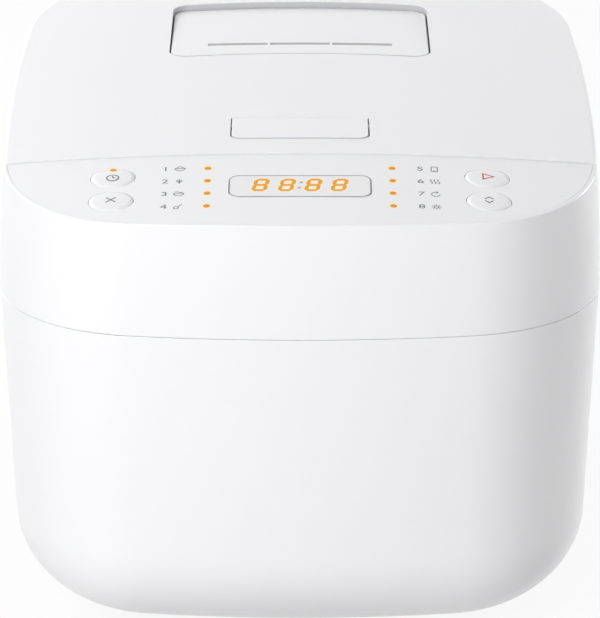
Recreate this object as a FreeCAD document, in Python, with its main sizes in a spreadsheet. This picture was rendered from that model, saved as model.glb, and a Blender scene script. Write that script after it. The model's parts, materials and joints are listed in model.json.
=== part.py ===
"""Rice cooker with a hinged lid, as a parametric document in millimetres.

The frame: origin under the middle of the feet, +Z up, the front faces -Y.
"""
import FreeCAD, Part
import math
import os
import Sketcher
from types import SimpleNamespace

Vector = FreeCAD.Vector
Placement = FreeCAD.Placement
Rotation = FreeCAD.Rotation

X_AXIS = Vector(1, 0, 0)
Y_AXIS = Vector(0, 1, 0)
Z_AXIS = Vector(0, 0, 1)

doc = FreeCAD.newDocument("rice_cooker")

# Driving dimensions

SIZES = {
    "body_width": 262.0,
    "body_depth": 330.0,
    "front_radius": 502.0,
    "front_corner_radius": 66.3,
    "side_radius": 1631.0,
    "rear_corner_radius": 75.7,
    "rear_radius": 336.0,
    "shell_bottom": 5.0,
    "deck_rise": 21.0,
    "shell_wall": 2.5,
    "shell_draft_deg": 2.43,
    "bottom_round_width": 52.0,
    "bottom_round_height": 44.0,
    "shell_lip_inset": 63.5,
    "seam_gap": 0.2,
    "seam_round": 0.3,
    "tumble_radius": 592.0,
    "collar_wall": 3.0,
    "collar_rise": 5.6,
    "tongue_depth": 8.0,
    "tongue_wall": 1.6,
    "tongue_clearance": 0.35,
    "deck_height": 172.0,
    "deck_thickness": 3.0,
    "pot_clearance": 2.5,
    "panel_rise": 27.72,
    "panel_slope_deg": 9.15,
    "panel_thickness": 2.5,
    "panel_rim": 1.6,
    "rim_round": 0.9,
    "panel_clearance": 0.15,
    "crown_radius": 1640.0,
    "panel_length": 66.2,
    "lid_slope_deg": 2.27,
    "lid_rise": 0.4,
    "lid_wall": 2.5,
    "lid_edge_round": 2.0,
    "lid_gap": 6.0,
    "lid_front_draft_deg": 3.5,
    "lid_front_clearance": 0.35,
    "well_wall": 2.5,
    "well_clearance": 0.3,
    "hinge_setback": 33.0,
    "hinge_round": 14.5,
    "cradle_gap": 0.6,
    "housing_gap": 1.1,
    "housing_drop": 1.0,
    "hinge_pin_radius": 3.0,
    "hinge_pin_length": 154.0,
    "hinge_ear_x": 64.0,
    "hinge_ear_width": 8.0,
    "hinge_ear_gap": 0.7,
    "knuckle_radius": 7.0,
    "knuckle_width": 7.5,
    "bush_wall": 1.6,
    "hinge_ear_wall": 2.0,
    "ear_slot_reach": 12.0,
    "ear_slot_rise": 7.0,
    "hinge_spring_x": 32.0,
    "hinge_spring_length": 18.0,
    "hinge_spring_wall": 3.0,
    "running_gap": 0.05,
    "fit_gap": 0.3,
    "pot_offset": 1.4,
    "pot_side_room": 29.0,
    "pot_end_room": 13.4,
    "pot_wall": 2.0,
    "pot_floor_height": 54.0,
    "pot_flange_overlap": 6.5,
    "pot_base_round": 26.0,
    "liner_wall": 0.8,
    "liner_bottom": 36.0,
    "liner_floor_inset": 18.0,
    "heating_plate_inset": 24.0,
    "heating_plate_thickness": 9.5,
    "sensor_bore_radius": 17.0,
    "sensor_cap_radius": 14.8,
    "sensor_cap_height": 5.0,
    "sensor_stem_radius": 5.0,
    "sensor_sleeve_depth": 12.0,
    "sensor_spring_inner": 8.4,
    "sensor_spring_outer": 11.8,
    "heater_ring_inset": 23.0,
    "heater_rod_radius": 4.5,
    "post_inset": 10.0,
    "post_radius": 4.0,
    "fuse_radius": 2.25,
    "fuse_share": 0.6,
    "band_thickness": 2.0,
    "band_height": 22.0,
    "base_plate_thickness": 2.0,
    "base_plate_inset": 57.3,
    "base_slot_pitch": 13.0,
    "base_slot_width": 4.0,
    "base_slot_length": 28.0,
    "foot_radius": 9.0,
    "foot_stem_radius": 3.0,
    "foot_side": 79.0,
    "foot_setback": 87.0,
    "screw_radius": 1.5,
    "screw_head_radius": 3.0,
    "screw_head_height": 1.5,
    "base_screw_side": 63.0,
    "base_screw_setback": 125.0,
    "base_boss_height": 10.0,
    "base_screw_grip": 7.5,
    "power_board_rise": 7.0,
    "power_board_width": 96.0,
    "power_board_length": 36.0,
    "power_board_setback": 89.0,
    "power_screw_edge": 6.5,
    "power_screw_grip": 10.0,
    "transformer_x": -21.0,
    "transformer_width": 26.0,
    "transformer_length": 24.0,
    "transformer_height": 16.0,
    "transformer_step": 4.0,
    "relay_x": 10.0,
    "relay_width": 16.0,
    "relay_length": 20.0,
    "relay_height": 15.0,
    "capacitor_x": 26.0,
    "capacitor_radius": 4.5,
    "capacitor_height": 13.0,
    "capacitor_pitch": 11.0,
    "key_column_side": 52.6,
    "key_row_upper": 48.3,
    "key_row_lower": 27.4,
    "key_width": 18.6,
    "key_length": 16.5,
    "key_gap": 0.25,
    "key_thickness": 2.4,
    "key_round": 0.5,
    "key_flange": 1.2,
    "key_flange_thickness": 0.8,
    "key_stem_radius": 2.4,
    "key_stem_length": 1.6,
    "switch_width": 6.0,
    "switch_round": 0.5,
    "switch_knob_radius": 1.75,
    "switch_knob_height": 0.6,
    "switch_gap": 0.15,
    "key_proud": 0.25,
    "key_travel": 0.7,
    "light_column_x": 38.65,
    "light_row_first": 20.7,
    "light_row_pitch": 11.27,
    "light_radius": 1.15,
    "window_width": 59.4,
    "window_length": 19.25,
    "window_row": 37.58,
    "window_corner": 4.5,
    "window_thickness": 1.6,
    "switch_height": 1.7,
    "board_thickness": 1.6,
    "board_overhang": 9.6,
    "board_row_first": 18.0,
    "board_row_last": 57.0,
    "board_corner": 3.0,
    "board_screw_edge": 5.0,
    "board_screw_grip": 4.0,
    "digit_width": 51.4,
    "digit_length": 18.2,
    "digit_corner": 1.0,
    "paddle_offset": 18.2,
    "paddle_length": 26.0,
    "paddle_width": 58.6,
    "paddle_corner": 4.5,
    "paddle_rise": 0.5,
    "paddle_gap": 0.6,
    "paddle_rear_gap": 0.4,
    "paddle_thickness": 5.2,
    "paddle_round": 0.3,
    "shelf_margin": 6.0,
    "shelf_thickness": 2.0,
    "cheek_gap": 1.0,
    "cheek_thickness": 3.0,
    "release_spring_inner": 2.2,
    "release_spring_outer": 3.4,
    "pivot_setback": 2.8,
    "pivot_drop": 3.4,
    "pivot_radius": 1.25,
    "latch_rise": 20.0,
    "latch_reach": 4.6,
    "latch_thickness": 2.5,
    "latch_width": 18.0,
    "hook_width": 12.0,
    "hook_bite": 1.4,
    "hook_thickness": 2.4,
    "hook_leg_reach": 9.0,
    "hook_leg_thickness": 4.0,
    "hook_root_reach": 2.0,
    "hook_root_length": 7.0,
    "hook_drop": 2.0,
    "notch_margin": 2.0,
    "notch_depth": 6.0,
    "catch_plate_margin": 6.0,
    "catch_plate_rise": 8.0,
    "catch_plate_thickness": 2.0,
    "catch_screw_margin": 3.0,
    "catch_screw_drop": 4.0,
    "catch_screw_radius": 1.25,
    "catch_head_radius": 2.5,
    "vent_length": 75.0,
    "vent_setback": 25.5,
    "vent_width": 117.6,
    "vent_gap": 0.55,
    "vent_corner": 8.0,
    "vent_bow_radius": 650.0,
    "vent_rise": 30.0,
    "vent_wall": 2.0,
    "vent_round": 0.8,
    "vent_split": 5.0,
    "vent_slot_inset": 15.6,
    "vent_slot_length": 27.2,
    "vent_slot_width": 3.4,
    "vent_slot_pitch": 28.4,
    "steam_inset": 32.5,
    "steam_radius": 9.0,
    "steam_wall": 2.0,
    "steam_foot_radius": 15.0,
    "steam_foot_height": 2.0,
    "steam_hole_radius": 2.2,
    "steam_hole_circle": 5.2,
    "nozzle_radius": 7.5,
    "nozzle_wall": 1.5,
    "nozzle_reach": 6.0,
    "vent_seal_height": 3.0,
    "vent_seal_rise": 2.0,
    "inner_lid_overlap": 1.0,
    "inner_lid_thickness": 1.2,
    "inner_lid_gap": 0.8,
    "gasket_overlap": 7.0,
    "gasket_grip": 4.0,
    "gasket_lip": 0.9,
    "clip_neck_radius": 4.0,
    "clip_knob_radius": 9.0,
    "clip_knob_height": 5.0,
    "clip_head_radius": 6.0,
    "clip_head_height": 3.0,
    "probe_offset": 52.0,
    "probe_radius": 3.5,
    "probe_reach": 2.0,
    "probe_body_radius": 6.5,
    "probe_body_height": 6.0,
    "lid_screw_side": 46.0,
    "lid_screw_front": 32.8,
    "lid_screw_rear": 34.0,
    "lid_screw_grip": 9.0,
    "lid_pilot_depth": 12.0,
    "inlet_height": 62.0,
    "inlet_width": 28.0,
    "inlet_tall": 24.0,
    "inlet_wall": 3.0,
    "inlet_sink": 1.5,
    "inlet_depth": 30.0,
    "inlet_recess": 20.0,
    "inlet_flange_width": 48.0,
    "inlet_flange_thickness": 3.0,
    "pin_reach": 14.0,
    "blade_pitch": 7.0,
    "blade_stagger": 3.0,
    "blade_width": 2.0,
    "blade_height": 5.0,
    "blade_tail": 6.0,
    "inlet_screw_edge": 5.0,
    "inlet_head_height": 1.2,
}

# Places and sizes that follow from them

DERIVED = {
    "seam_height": "deck_height - deck_rise",
    "collar_top": "deck_height + collar_rise",
    "panel_edge_height": "deck_height + panel_rise",
    "lid_bottom": "deck_height + lid_gap",
    "latch_height": "deck_height + latch_rise",
    "vent_floor": "deck_height + vent_rise",
    "lid_seam_y": "panel_length - body_depth / 2",
    "hinge_y": "body_depth / 2 - hinge_setback",
    "pot_y": "(lid_seam_y + hinge_y) / 2 + pot_offset",
    "pot_radius": "min(body_width / 2 - pot_side_room; (hinge_y - lid_seam_y) / 2 - pot_end_room)",
    "deck_opening_radius": "pot_radius + pot_wall + pot_clearance",
    "pot_flange_radius": "deck_opening_radius + pot_flange_overlap",
    "liner_floor_radius": "pot_radius - liner_floor_inset",
    "heating_plate_radius": "pot_radius - heating_plate_inset",
    "heater_ring_radius": "heating_plate_radius - heater_ring_inset",
    "post_circle_radius": "heating_plate_radius - post_inset",
    "fuse_offset": "(sensor_bore_radius + heater_ring_radius) / 2",
    "fuse_length": "heater_ring_radius * fuse_share",
    "inner_lid_radius": "pot_radius + inner_lid_overlap",
    "gasket_radius": "inner_lid_radius + gasket_overlap",
    "paddle_front_y": "lid_seam_y + paddle_offset",
    "paddle_rear_y": "paddle_front_y + paddle_length",
    "pivot_y": "paddle_rear_y - pivot_setback",
    "vent_rear_y": "hinge_y - vent_setback",
    "vent_front_y": "vent_rear_y - vent_length",
    "vent_slot_y": "vent_front_y + vent_slot_inset",
    "steam_y": "vent_front_y + steam_inset",
    "probe_y": "pot_y - probe_offset",
    "lid_screw_x": "body_width / 2 - lid_screw_side",
    "lid_screw_front_y": "lid_seam_y + lid_screw_front",
    "lid_screw_rear_y": "hinge_y - lid_screw_rear",
    "inlet_face_y": "body_depth / 2 - inlet_sink",
    "power_board_y": "power_board_setback - body_depth / 2",
    "foot_x": "body_width / 2 - foot_side",
    "foot_y": "body_depth / 2 - foot_setback",
    "base_screw_x": "body_width / 2 - base_screw_side",
    "base_screw_y": "body_depth / 2 - base_screw_setback",
    "key_column_x": "body_width / 2 - key_column_side",
    "board_half_width": "key_column_x + board_overhang",
    "key_depth": "key_thickness + key_stem_length + key_travel",
    "switch_depth": "switch_gap + switch_knob_height + switch_height",
    "board_depth": "key_depth + switch_depth + key_column_x * key_column_x / (2 * crown_radius)",
    "board_screw_x": "(light_column_x + key_column_x) / 2",
}

sheet = doc.addObject("Spreadsheet::Sheet", "sizes")
CELLS = {**SIZES, **{alias: "=" + formula for alias, formula in DERIVED.items()}}
for row, (alias, content) in enumerate(CELLS.items(), start=1):
    sheet.set("A%d" % row, alias)
    sheet.set("B%d" % row, str(content))
    sheet.setAlias("B%d" % row, alias)
doc.recompute()


class Size:
    """A number together with the sheet expression that gives it."""

    def __init__(self, number, text):
        self.number = float(number)
        self.text = text

    def __float__(self):
        return self.number

    def __neg__(self):
        return Size(-self.number, "(0 - %s)" % self.text)

    def __add__(self, other):
        other = sized(other)
        return Size(self.number + other.number, "(%s + %s)" % (self.text, other.text))

    def __sub__(self, other):
        other = sized(other)
        return Size(self.number - other.number, "(%s - %s)" % (self.text, other.text))

    def __mul__(self, other):
        other = sized(other)
        return Size(self.number * other.number, "(%s * %s)" % (self.text, other.text))

    def __truediv__(self, other):
        other = sized(other)
        return Size(self.number / other.number, "(%s / %s)" % (self.text, other.text))

    def __radd__(self, other):
        return sized(other) + self

    def __rsub__(self, other):
        return sized(other) - self

    def __rmul__(self, other):
        return sized(other) * self


def sized(value):
    """A plain number as a Size."""
    if isinstance(value, Size):
        return value
    return Size(value, "%.6f" % value if value >= 0 else "(0 - %.6f)" % -value)


s = SimpleNamespace(**{name: Size(sheet.get(name), "sizes." + name) for name in CELLS})


def bind(obj, prop, value):
    obj.setExpression(prop, sized(value).text)


# Ways to make pieces

PARTS = []


def piece(label, obj):
    """Name a finished piece."""
    obj.Label = label
    PARTS.append(obj)
    return obj


def place(obj, x, y, z):
    bind(obj, "Placement.Base.x", x)
    bind(obj, "Placement.Base.y", y)
    bind(obj, "Placement.Base.z", z)
    return obj


def box(name, x, y, z):
    """A box between the pairs of limits x, y and z."""
    obj = doc.addObject("Part::Box", name)
    for prop, (low, high) in (("Length", x), ("Width", y), ("Height", z)):
        bind(obj, prop, sized(high) - low)
    return place(obj, x[0], y[0], z[0])


def cylinder(name, radius, start, length, axis=Z_AXIS):
    """A cylinder from the point start, along axis."""
    obj = doc.addObject("Part::Cylinder", name)
    bind(obj, "Radius", radius)
    bind(obj, "Height", length)
    obj.Placement = Placement(Vector(), Rotation(Z_AXIS, axis))
    return place(obj, *start)


def feature(name, shape):
    obj = doc.addObject("Part::Feature", name)
    obj.Shape = shape
    return obj


def fuse(name, *shapes):
    obj = doc.addObject("Part::MultiFuse", name)
    obj.Shapes = list(shapes)
    return obj


def cut(name, base, *tools):
    obj = doc.addObject("Part::Cut", name)
    obj.Base = base
    obj.Tool = tools[0] if len(tools) == 1 else fuse(name + "_tools", *tools)
    return obj


def common(name, *shapes):
    obj = doc.addObject("Part::MultiCommon", name)
    obj.Shapes = list(shapes)
    return obj


def group(name, *shapes):
    obj = doc.addObject("Part::Compound", name)
    obj.Links = list(shapes)
    return obj


def ring(name, inner, outer, x, y, z):
    """A tube with a vertical axis between the heights z."""
    height = sized(z[1]) - z[0]
    return cut(name, cylinder(name + "_outside", outer, (x, y, z[0]), height),
               cylinder(name + "_inside", inner, (x, y, z[0]), height))


def turned(name, points, y):
    """A body turned about a vertical axis at (0, y) from an outline of radius and height pairs."""
    body = doc.addObject("PartDesign::Body", name)
    sketch = body.newObject("Sketcher::SketchObject", name + "_outline")
    plane = [item for item in body.Origin.OriginFeatures if item.Role == "XZ_Plane"][0]
    sketch.AttachmentSupport = [(plane, "")]
    sketch.MapMode = "FlatFace"
    corners = [Vector(float(r), float(z), 0) for r, z in points]
    count = len(corners)
    for index in range(count):
        sketch.addGeometry(Part.LineSegment(corners[index], corners[(index + 1) % count]), False)
    for index in range(count):
        sketch.addConstraint(Sketcher.Constraint("Coincident", index, 2, (index + 1) % count, 1))
    for index, (r, z) in enumerate(points):
        for kind, size in (("DistanceX", sized(r)), ("DistanceY", sized(z))):
            number = sketch.addConstraint(
                Sketcher.Constraint(kind, -1, 1, index, 1, size.number))
            sketch.setExpression("Constraints[%d]" % number, size.text)
    revolution = body.newObject("PartDesign::Revolution", name + "_turn")
    revolution.Profile = sketch
    revolution.ReferenceAxis = (sketch, ["V_Axis"])
    revolution.Angle = 360.0
    bind(body, "Placement.Base.y", y)
    return body


def screws(name, spots, head_end, tip_end):
    """Upright screws: the head lies on the side of head_end away from tip_end."""
    up = 1.0 if float(tip_end) > float(head_end) else -1.0
    solids = []
    for index, (x, y) in enumerate(spots):
        head_low = head_end - s.screw_head_height if up > 0 else head_end
        head = cylinder("%s_head%d" % (name, index), s.screw_head_radius,
                        (x, y, head_low), s.screw_head_height)
        low, high = (head_end, tip_end) if up > 0 else (tip_end, head_end)
        shank = cylinder("%s_shank%d" % (name, index), s.screw_radius,
                         (x, y, low), sized(high) - low)
        solids.append(fuse("%s_screw%d" % (name, index), head, shank))
    return group(name, *solids)


def holes(name, spots, radius, z):
    """Upright cylinders that cut the holes for pins and screws."""
    height = sized(z[1]) - z[0]
    return [cylinder("%s%d" % (name, index), radius, (x, y, z[0]), height)
            for index, (x, y) in enumerate(spots)]


def corners_of(x, y):
    return [(x, y), (-x, y), (x, -y), (-x, -y)]


# Plan outline: tangent arcs, the same on both sides

def blend_centre(first, reach_first, second, reach_second):
    """The right-hand point at the two given distances from two centres."""
    between = second - first
    along = (reach_first ** 2 - reach_second ** 2 + between.Length ** 2) / (2 * between.Length)
    across = math.sqrt(reach_first ** 2 - along ** 2)
    unit = between / between.Length
    sideways = Vector(-unit.y, unit.x, 0)
    ends = [first + unit * along + sideways * sign * across for sign in (1, -1)]
    return max(ends, key=lambda point: point.x)


def plan_arcs():
    """Centre, radius, start and end angle of the arcs, from the front middle round to it again."""
    half_width = float(s.body_width) / 2
    half_depth = float(s.body_depth) / 2
    front = Vector(0, -half_depth + float(s.front_radius), 0)
    side = Vector(half_width - float(s.side_radius), 0, 0)
    rear = Vector(0, half_depth - float(s.rear_radius), 0)
    front_corner = blend_centre(front, float(s.front_radius) - float(s.front_corner_radius),
                                side, float(s.side_radius) - float(s.front_corner_radius))
    rear_corner = blend_centre(rear, float(s.rear_radius) - float(s.rear_corner_radius),
                               side, float(s.side_radius) - float(s.rear_corner_radius))

    def heading(centre, toward):
        return math.atan2(toward.y - centre.y, toward.x - centre.x)

    front_end = heading(front, front_corner)
    side_start = heading(side, front_corner)
    side_end = heading(side, rear_corner)
    rear_start = heading(rear, rear_corner)
    right = [
        (front, float(s.front_radius), -math.pi / 2, front_end),
        (front_corner, float(s.front_corner_radius), front_end, side_start),
        (side, float(s.side_radius), side_start, side_end),
        (rear_corner, float(s.rear_corner_radius), side_end, rear_start),
        (rear, float(s.rear_radius), rear_start, math.pi / 2),
    ]
    left = [(Vector(-centre.x, centre.y, 0), radius, math.pi - end, math.pi - start)
            for centre, radius, start, end in reversed(right)]
    return right + left


ARCS = plan_arcs()


def plan_face(inset, z):
    """The plan outline, drawn in by inset, as a face at height z."""
    edges = []
    for centre, radius, start, end in ARCS:
        circle = Part.Circle(Vector(centre.x, centre.y, z), Z_AXIS, radius - inset)
        edges.append(Part.ArcOfCircle(circle, start, end).toShape())
    return Part.Face(Part.Wire(edges))


def moulded(name, profile):
    """A solid whose side follows a profile of (inset, height) curves all round the plan outline."""
    faces = []
    for centre, radius, start, end in ARCS:
        def spot(inset, z):
            reach = radius - inset
            return Vector(centre.x + reach * math.cos(start), centre.y + reach * math.sin(start), z)
        wire = Part.Wire([curve.toShape() for curve in profile(spot)])
        turn = wire.revolve(centre, Z_AXIS, math.degrees(end - start))
        faces.extend(turn.Faces)
    for inset, z in profile.ends:
        faces.append(plan_face(inset, z))
    skin = Part.makeShell(faces)
    skin.sewShape()
    solid = Part.Solid(skin)
    if solid.Volume < 0:
        solid.reverse()
    return feature(name, solid)


def tumble_inset(z):
    """How far the upper body leans in at height z."""
    rise = z - float(s.seam_height)
    radius = float(s.tumble_radius)
    return radius - math.sqrt(radius ** 2 - rise ** 2)


def quarter(spot, high, low, bulge):
    """A small round from one (inset, height) point to another, by way of a third."""
    return Part.Arc(spot(*high), spot(*bulge), spot(*low))


def envelope(name, inset, low, high, edge_round=0.0):
    """The upper body's outside, drawn in by inset, between two heights."""
    inset, low, high, turn = float(inset), float(low), float(high), float(edge_round)
    start = low + turn
    slant = turn * (1 - math.sqrt(0.5))

    def profile(spot):
        side = [spot(inset + tumble_inset(z), z) for z in (start, (start + high) / 2, high)]
        curves = [Part.Arc(*side)]
        if turn:
            curves.insert(0, quarter(spot, (inset + turn, low), (inset + tumble_inset(start), start),
                                     (inset + slant, low + slant)))
        return curves
    profile.ends = [(inset + (turn or tumble_inset(low)), low), (inset + tumble_inset(high), high)]
    return moulded(name, profile)


def shell_form(name, wall, top, edge_round=0.0):
    """The lower body's outside, or its inside where wall is not zero."""
    wall, top, turn = float(wall), float(top), float(edge_round)
    lean = math.tan(math.radians(float(s.shell_draft_deg)))
    shoulder = float(s.shell_bottom) + float(s.bottom_round_height)
    width = float(s.bottom_round_width) - wall
    height = float(s.bottom_round_height) - wall
    slant = turn * (1 - math.sqrt(0.5))
    steps_in_round = 6

    def straight(z):
        return wall + (float(s.seam_height) - z) * lean

    def rounded_at(angle):
        z = shoulder - height * math.sin(angle)
        return straight(z) + width * (1 - math.cos(angle)), z

    steps = [rounded_at(math.pi / 2 * index / steps_in_round) for index in range(steps_in_round + 1)]
    start = top - turn

    def profile(spot):
        curve = Part.BSplineCurve()
        curve.interpolate([spot(*step) for step in steps])
        curves = [Part.LineSegment(spot(straight(start), start), spot(*steps[0])), curve]
        if turn:
            curves.insert(0, quarter(spot, (straight(top) + turn, top), (straight(start), start),
                                     (straight(top) + slant, top - slant)))
        return curves
    profile.ends = [(straight(top) + turn, top), steps[-1]]
    return moulded(name, profile)


def crown(name, front_y, front_z, slope_deg, depth):
    """A long cylinder under the crowned top, depth below it."""
    slope = math.radians(float(slope_deg))
    along = Vector(0, math.cos(slope), math.sin(slope))
    up = Vector(0, -math.sin(slope), math.cos(slope))
    start = Vector(0, front_y, front_z) - up * float(s.crown_radius) - along * float(s.body_depth)
    obj = doc.addObject("Part::Cylinder", name)
    bind(obj, "Radius", s.crown_radius - depth)
    bind(obj, "Height", s.body_depth * 3)
    obj.Placement = Placement(start, Rotation(Z_AXIS, along))
    return obj


def crown_sag(x):
    """How far the crowned tops fall from the middle line to x."""
    return float(x) ** 2 / (2 * float(s.crown_radius))


def middle_of(edge):
    return edge.valueAt((edge.FirstParameter + edge.LastParameter) / 2)


def rounded(name, base, radius_at):
    """The base with its edges rounded by what radius_at gives for each edge's middle point."""
    doc.recompute()
    radii = [float(radius_at(middle_of(edge))) for edge in base.Shape.Edges]
    obj = doc.addObject("Part::Fillet", name)
    obj.Base = base
    obj.Edges = [(index, radius, radius) for index, radius in enumerate(radii, start=1) if radius > 0]
    return obj


# Levels and lines that several pieces share

FRONT_Y = -float(s.body_depth) / 2
PANEL_SLOPE = math.radians(float(s.panel_slope_deg))
LID_SLOPE = math.radians(float(s.lid_slope_deg))
SEAM_Y = float(s.lid_seam_y)
SURFACE_TOLERANCE = 0.2
SIDES = (("left", -1), ("right", 1))


def panel_top(y):
    """Height of the control panel on the middle line."""
    return float(s.panel_edge_height) + math.tan(PANEL_SLOPE) * (y - FRONT_Y)


LID_EDGE_Z = panel_top(SEAM_Y) + float(s.lid_rise)


def lid_top(y):
    """Height of the lid's top on the middle line."""
    return LID_EDGE_Z + math.tan(LID_SLOPE) * (y - SEAM_Y)


HINGE_Y = float(s.hinge_y)
HINGE_Z = lid_top(HINGE_Y) - float(s.hinge_round) / math.cos(LID_SLOPE)
PIVOT_Z = lid_top(float(s.pivot_y)) - float(s.pivot_drop)
PADDLE_LOW = lid_top(float(s.pivot_y)) - float(s.paddle_thickness)
SKY = lid_top(float(s.body_depth))
FAR = s.body_width
well_y = s.lid_seam_y - s.well_clearance
lid_front_y = s.lid_seam_y + s.lid_front_clearance
cradle_y = s.hinge_y + s.cradle_gap
housing_y = s.hinge_y + s.hinge_round + s.housing_gap
deck_low = s.deck_height - s.deck_thickness
base_low = s.shell_bottom - s.base_plate_thickness
pot_rim = s.deck_height + s.pot_wall
pot_floor = s.pot_floor_height
pot_bottom = pot_floor - s.pot_wall
plate_low = pot_bottom - s.heating_plate_thickness
lid_plate_low = s.lid_bottom + s.well_clearance
lid_plate_top = lid_plate_low + s.lid_wall
disc_top = lid_plate_low - s.inner_lid_gap
disc_low = disc_top - s.inner_lid_thickness
shelf_top = s.latch_height + s.shelf_thickness
tub_low = s.vent_floor - s.vent_wall
screw_hole = s.screw_radius + s.running_gap
BASE_SCREWS = corners_of(s.base_screw_x, s.base_screw_y)
FEET = corners_of(s.foot_x, s.foot_y)
LID_SCREWS = [(side * s.lid_screw_x, y) for _, side in SIDES
              for y in (s.lid_screw_front_y, s.lid_screw_rear_y)]
CATCH_SCREWS = [side * (s.latch_width / 2 + s.catch_screw_margin) for _, side in SIDES]


def across(name, y_limits, z_limits):
    """A box right across the body."""
    return box(name, (-FAR, FAR), y_limits, z_limits)


def axle(name, radius, x_limits=(-FAR, FAR)):
    """A cylinder on the lid's hinge line."""
    return cylinder(name, radius, (x_limits[0], s.hinge_y, HINGE_Z),
                    sized(x_limits[1]) - x_limits[0], X_AXIS)


def span(middle, width):
    """The limits of a width about its middle."""
    return (middle - sized(width) / 2, middle + sized(width) / 2)


def panel_crown(name, depth):
    return crown(name, FRONT_Y, float(s.panel_edge_height), s.panel_slope_deg, depth)


def lid_crown(name, depth):
    return crown(name, SEAM_Y, LID_EDGE_Z, s.lid_slope_deg, depth)


# Lower body

def outer_shell():
    top = s.seam_height - s.seam_gap
    outside = shell_form("shell_outside", 0, top, s.seam_round)
    inside = shell_form("shell_inside", s.shell_wall, top)
    opening = feature("shell_opening", plan_face(float(s.shell_lip_inset), 0).extrude(
        Z_AXIS * float(s.shell_bottom + s.shell_wall)))
    walls = cut("shell_walls", outside, inside, opening)
    boss_top = s.shell_bottom + s.base_boss_height
    bosses = holes("shell_boss", BASE_SCREWS, s.screw_head_radius + s.screw_radius,
                   (s.shell_bottom, boss_top))
    pilots = holes("shell_pilot", BASE_SCREWS, screw_hole, (s.shell_bottom, boss_top))
    tall = span(s.inlet_height, s.inlet_tall + s.fit_gap * 2)
    inlet_hole = box("shell_inlet_hole", span(0, s.inlet_width + s.fit_gap * 2),
                     (s.inlet_face_y - s.inlet_depth, s.body_depth), tall)
    inlet_seat = box("shell_inlet_seat", span(0, s.inlet_flange_width + s.fit_gap * 2),
                     (s.inlet_face_y - s.inlet_flange_thickness, s.body_depth), tall)
    whole = fuse("shell_whole", walls, *bosses)
    piece("outer_shell", cut("shell", whole, inlet_hole, inlet_seat, *pilots))


def base_group():
    plate = feature("base_blank", plan_face(float(s.base_plate_inset), float(base_low)).extrude(
        Z_AXIS * float(s.base_plate_thickness)))
    layer = (base_low, s.shell_bottom)
    cuts = holes("base_hole", BASE_SCREWS, s.screw_radius + s.fit_gap, layer)
    cuts += holes("foot_hole", FEET, s.foot_stem_radius + s.running_gap, layer)
    for index in range(-4, 5):
        cuts.append(box("base_slot%d" % (index + 4), span(s.base_slot_pitch * index, s.base_slot_width),
                        span(s.pot_y, s.base_slot_length), layer))
    piece("base_plate", cut("base", plate, *cuts))
    feet = []
    for index, (x, y) in enumerate(FEET):
        pad = cylinder("foot_pad%d" % index, s.foot_radius, (x, y, 0), base_low)
        stem = cylinder("foot_stem%d" % index, s.foot_stem_radius, (x, y, 0), s.shell_bottom)
        feet.append(fuse("foot%d" % index, pad, stem))
    piece("rubber_feet", group("feet", *feet))
    piece("base_screws", screws("base_screw", BASE_SCREWS, base_low, s.shell_bottom + s.base_screw_grip))


# Cavity, heater and pot

def cavity_group():
    radius = s.deck_opening_radius
    wall = s.liner_wall
    piece("cavity_liner", turned("liner", [
        (s.liner_floor_radius, s.liner_bottom), (radius + wall, s.liner_bottom),
        (radius + wall, deck_low - wall), (s.pot_flange_radius, deck_low - wall),
        (s.pot_flange_radius, deck_low), (radius, deck_low),
        (radius, s.liner_bottom + wall), (s.liner_floor_radius, s.liner_bottom + wall)], s.pot_y))
    band_inner = radius + wall + s.fit_gap
    band_low = (s.liner_bottom + deck_low) / 2
    piece("side_heater_band", ring("band", band_inner, band_inner + s.band_thickness,
                                   0, s.pot_y, (band_low, band_low + s.band_height)))
    piece("heating_plate", turned("heater_plate", [
        (s.sensor_bore_radius, plate_low), (s.heating_plate_radius, plate_low),
        (s.heating_plate_radius, pot_bottom), (s.sensor_bore_radius, pot_bottom)], s.pot_y))
    rod = doc.addObject("Part::Torus", "heater_rod")
    bind(rod, "Radius1", s.heater_ring_radius)
    bind(rod, "Radius2", s.heater_rod_radius)
    piece("heater_element", place(rod, 0, s.pot_y, plate_low - s.heater_rod_radius - s.running_gap))
    posts = []
    for index, angle in enumerate((30, 150, 270)):
        turn = math.radians(angle)
        posts.append(cylinder("post%d" % index, s.post_radius,
                              (s.post_circle_radius * math.cos(turn),
                               s.pot_y + s.post_circle_radius * math.sin(turn), s.shell_bottom),
                              plate_low - s.shell_bottom))
    piece("heater_posts", group("posts", *posts))
    piece("thermal_fuse", cylinder("fuse_tube", s.fuse_radius,
                                   (-s.fuse_length / 2, s.pot_y + s.fuse_offset,
                                    plate_low - s.fuse_radius - s.running_gap),
                                   s.fuse_length, X_AXIS))


def sensor_group():
    outer = s.sensor_bore_radius - s.fit_gap
    inner = s.sensor_cap_radius + s.fit_gap
    sleeve_low = plate_low - s.sensor_sleeve_depth
    sleeve_top = pot_bottom - s.liner_wall
    floor_top = sleeve_low + s.liner_wall
    cap_low = pot_bottom - s.sensor_cap_height
    hole = s.sensor_stem_radius + s.fit_gap
    piece("sensor_sleeve", turned("sleeve", [
        (hole, sleeve_low), (outer, sleeve_low), (outer, sleeve_top), (inner, sleeve_top),
        (inner, floor_top), (hole, floor_top)], s.pot_y))
    cap = cylinder("sensor_cap", s.sensor_cap_radius, (0, s.pot_y, cap_low), s.sensor_cap_height)
    stem = cylinder("sensor_stem", s.sensor_stem_radius, (0, s.pot_y, floor_top),
                    pot_bottom - floor_top)
    piece("sensor_plunger", fuse("sensor", cap, stem))
    piece("sensor_spring", ring("sensor_coil", s.sensor_spring_inner, s.sensor_spring_outer,
                                0, s.pot_y, (floor_top, cap_low)))


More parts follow.
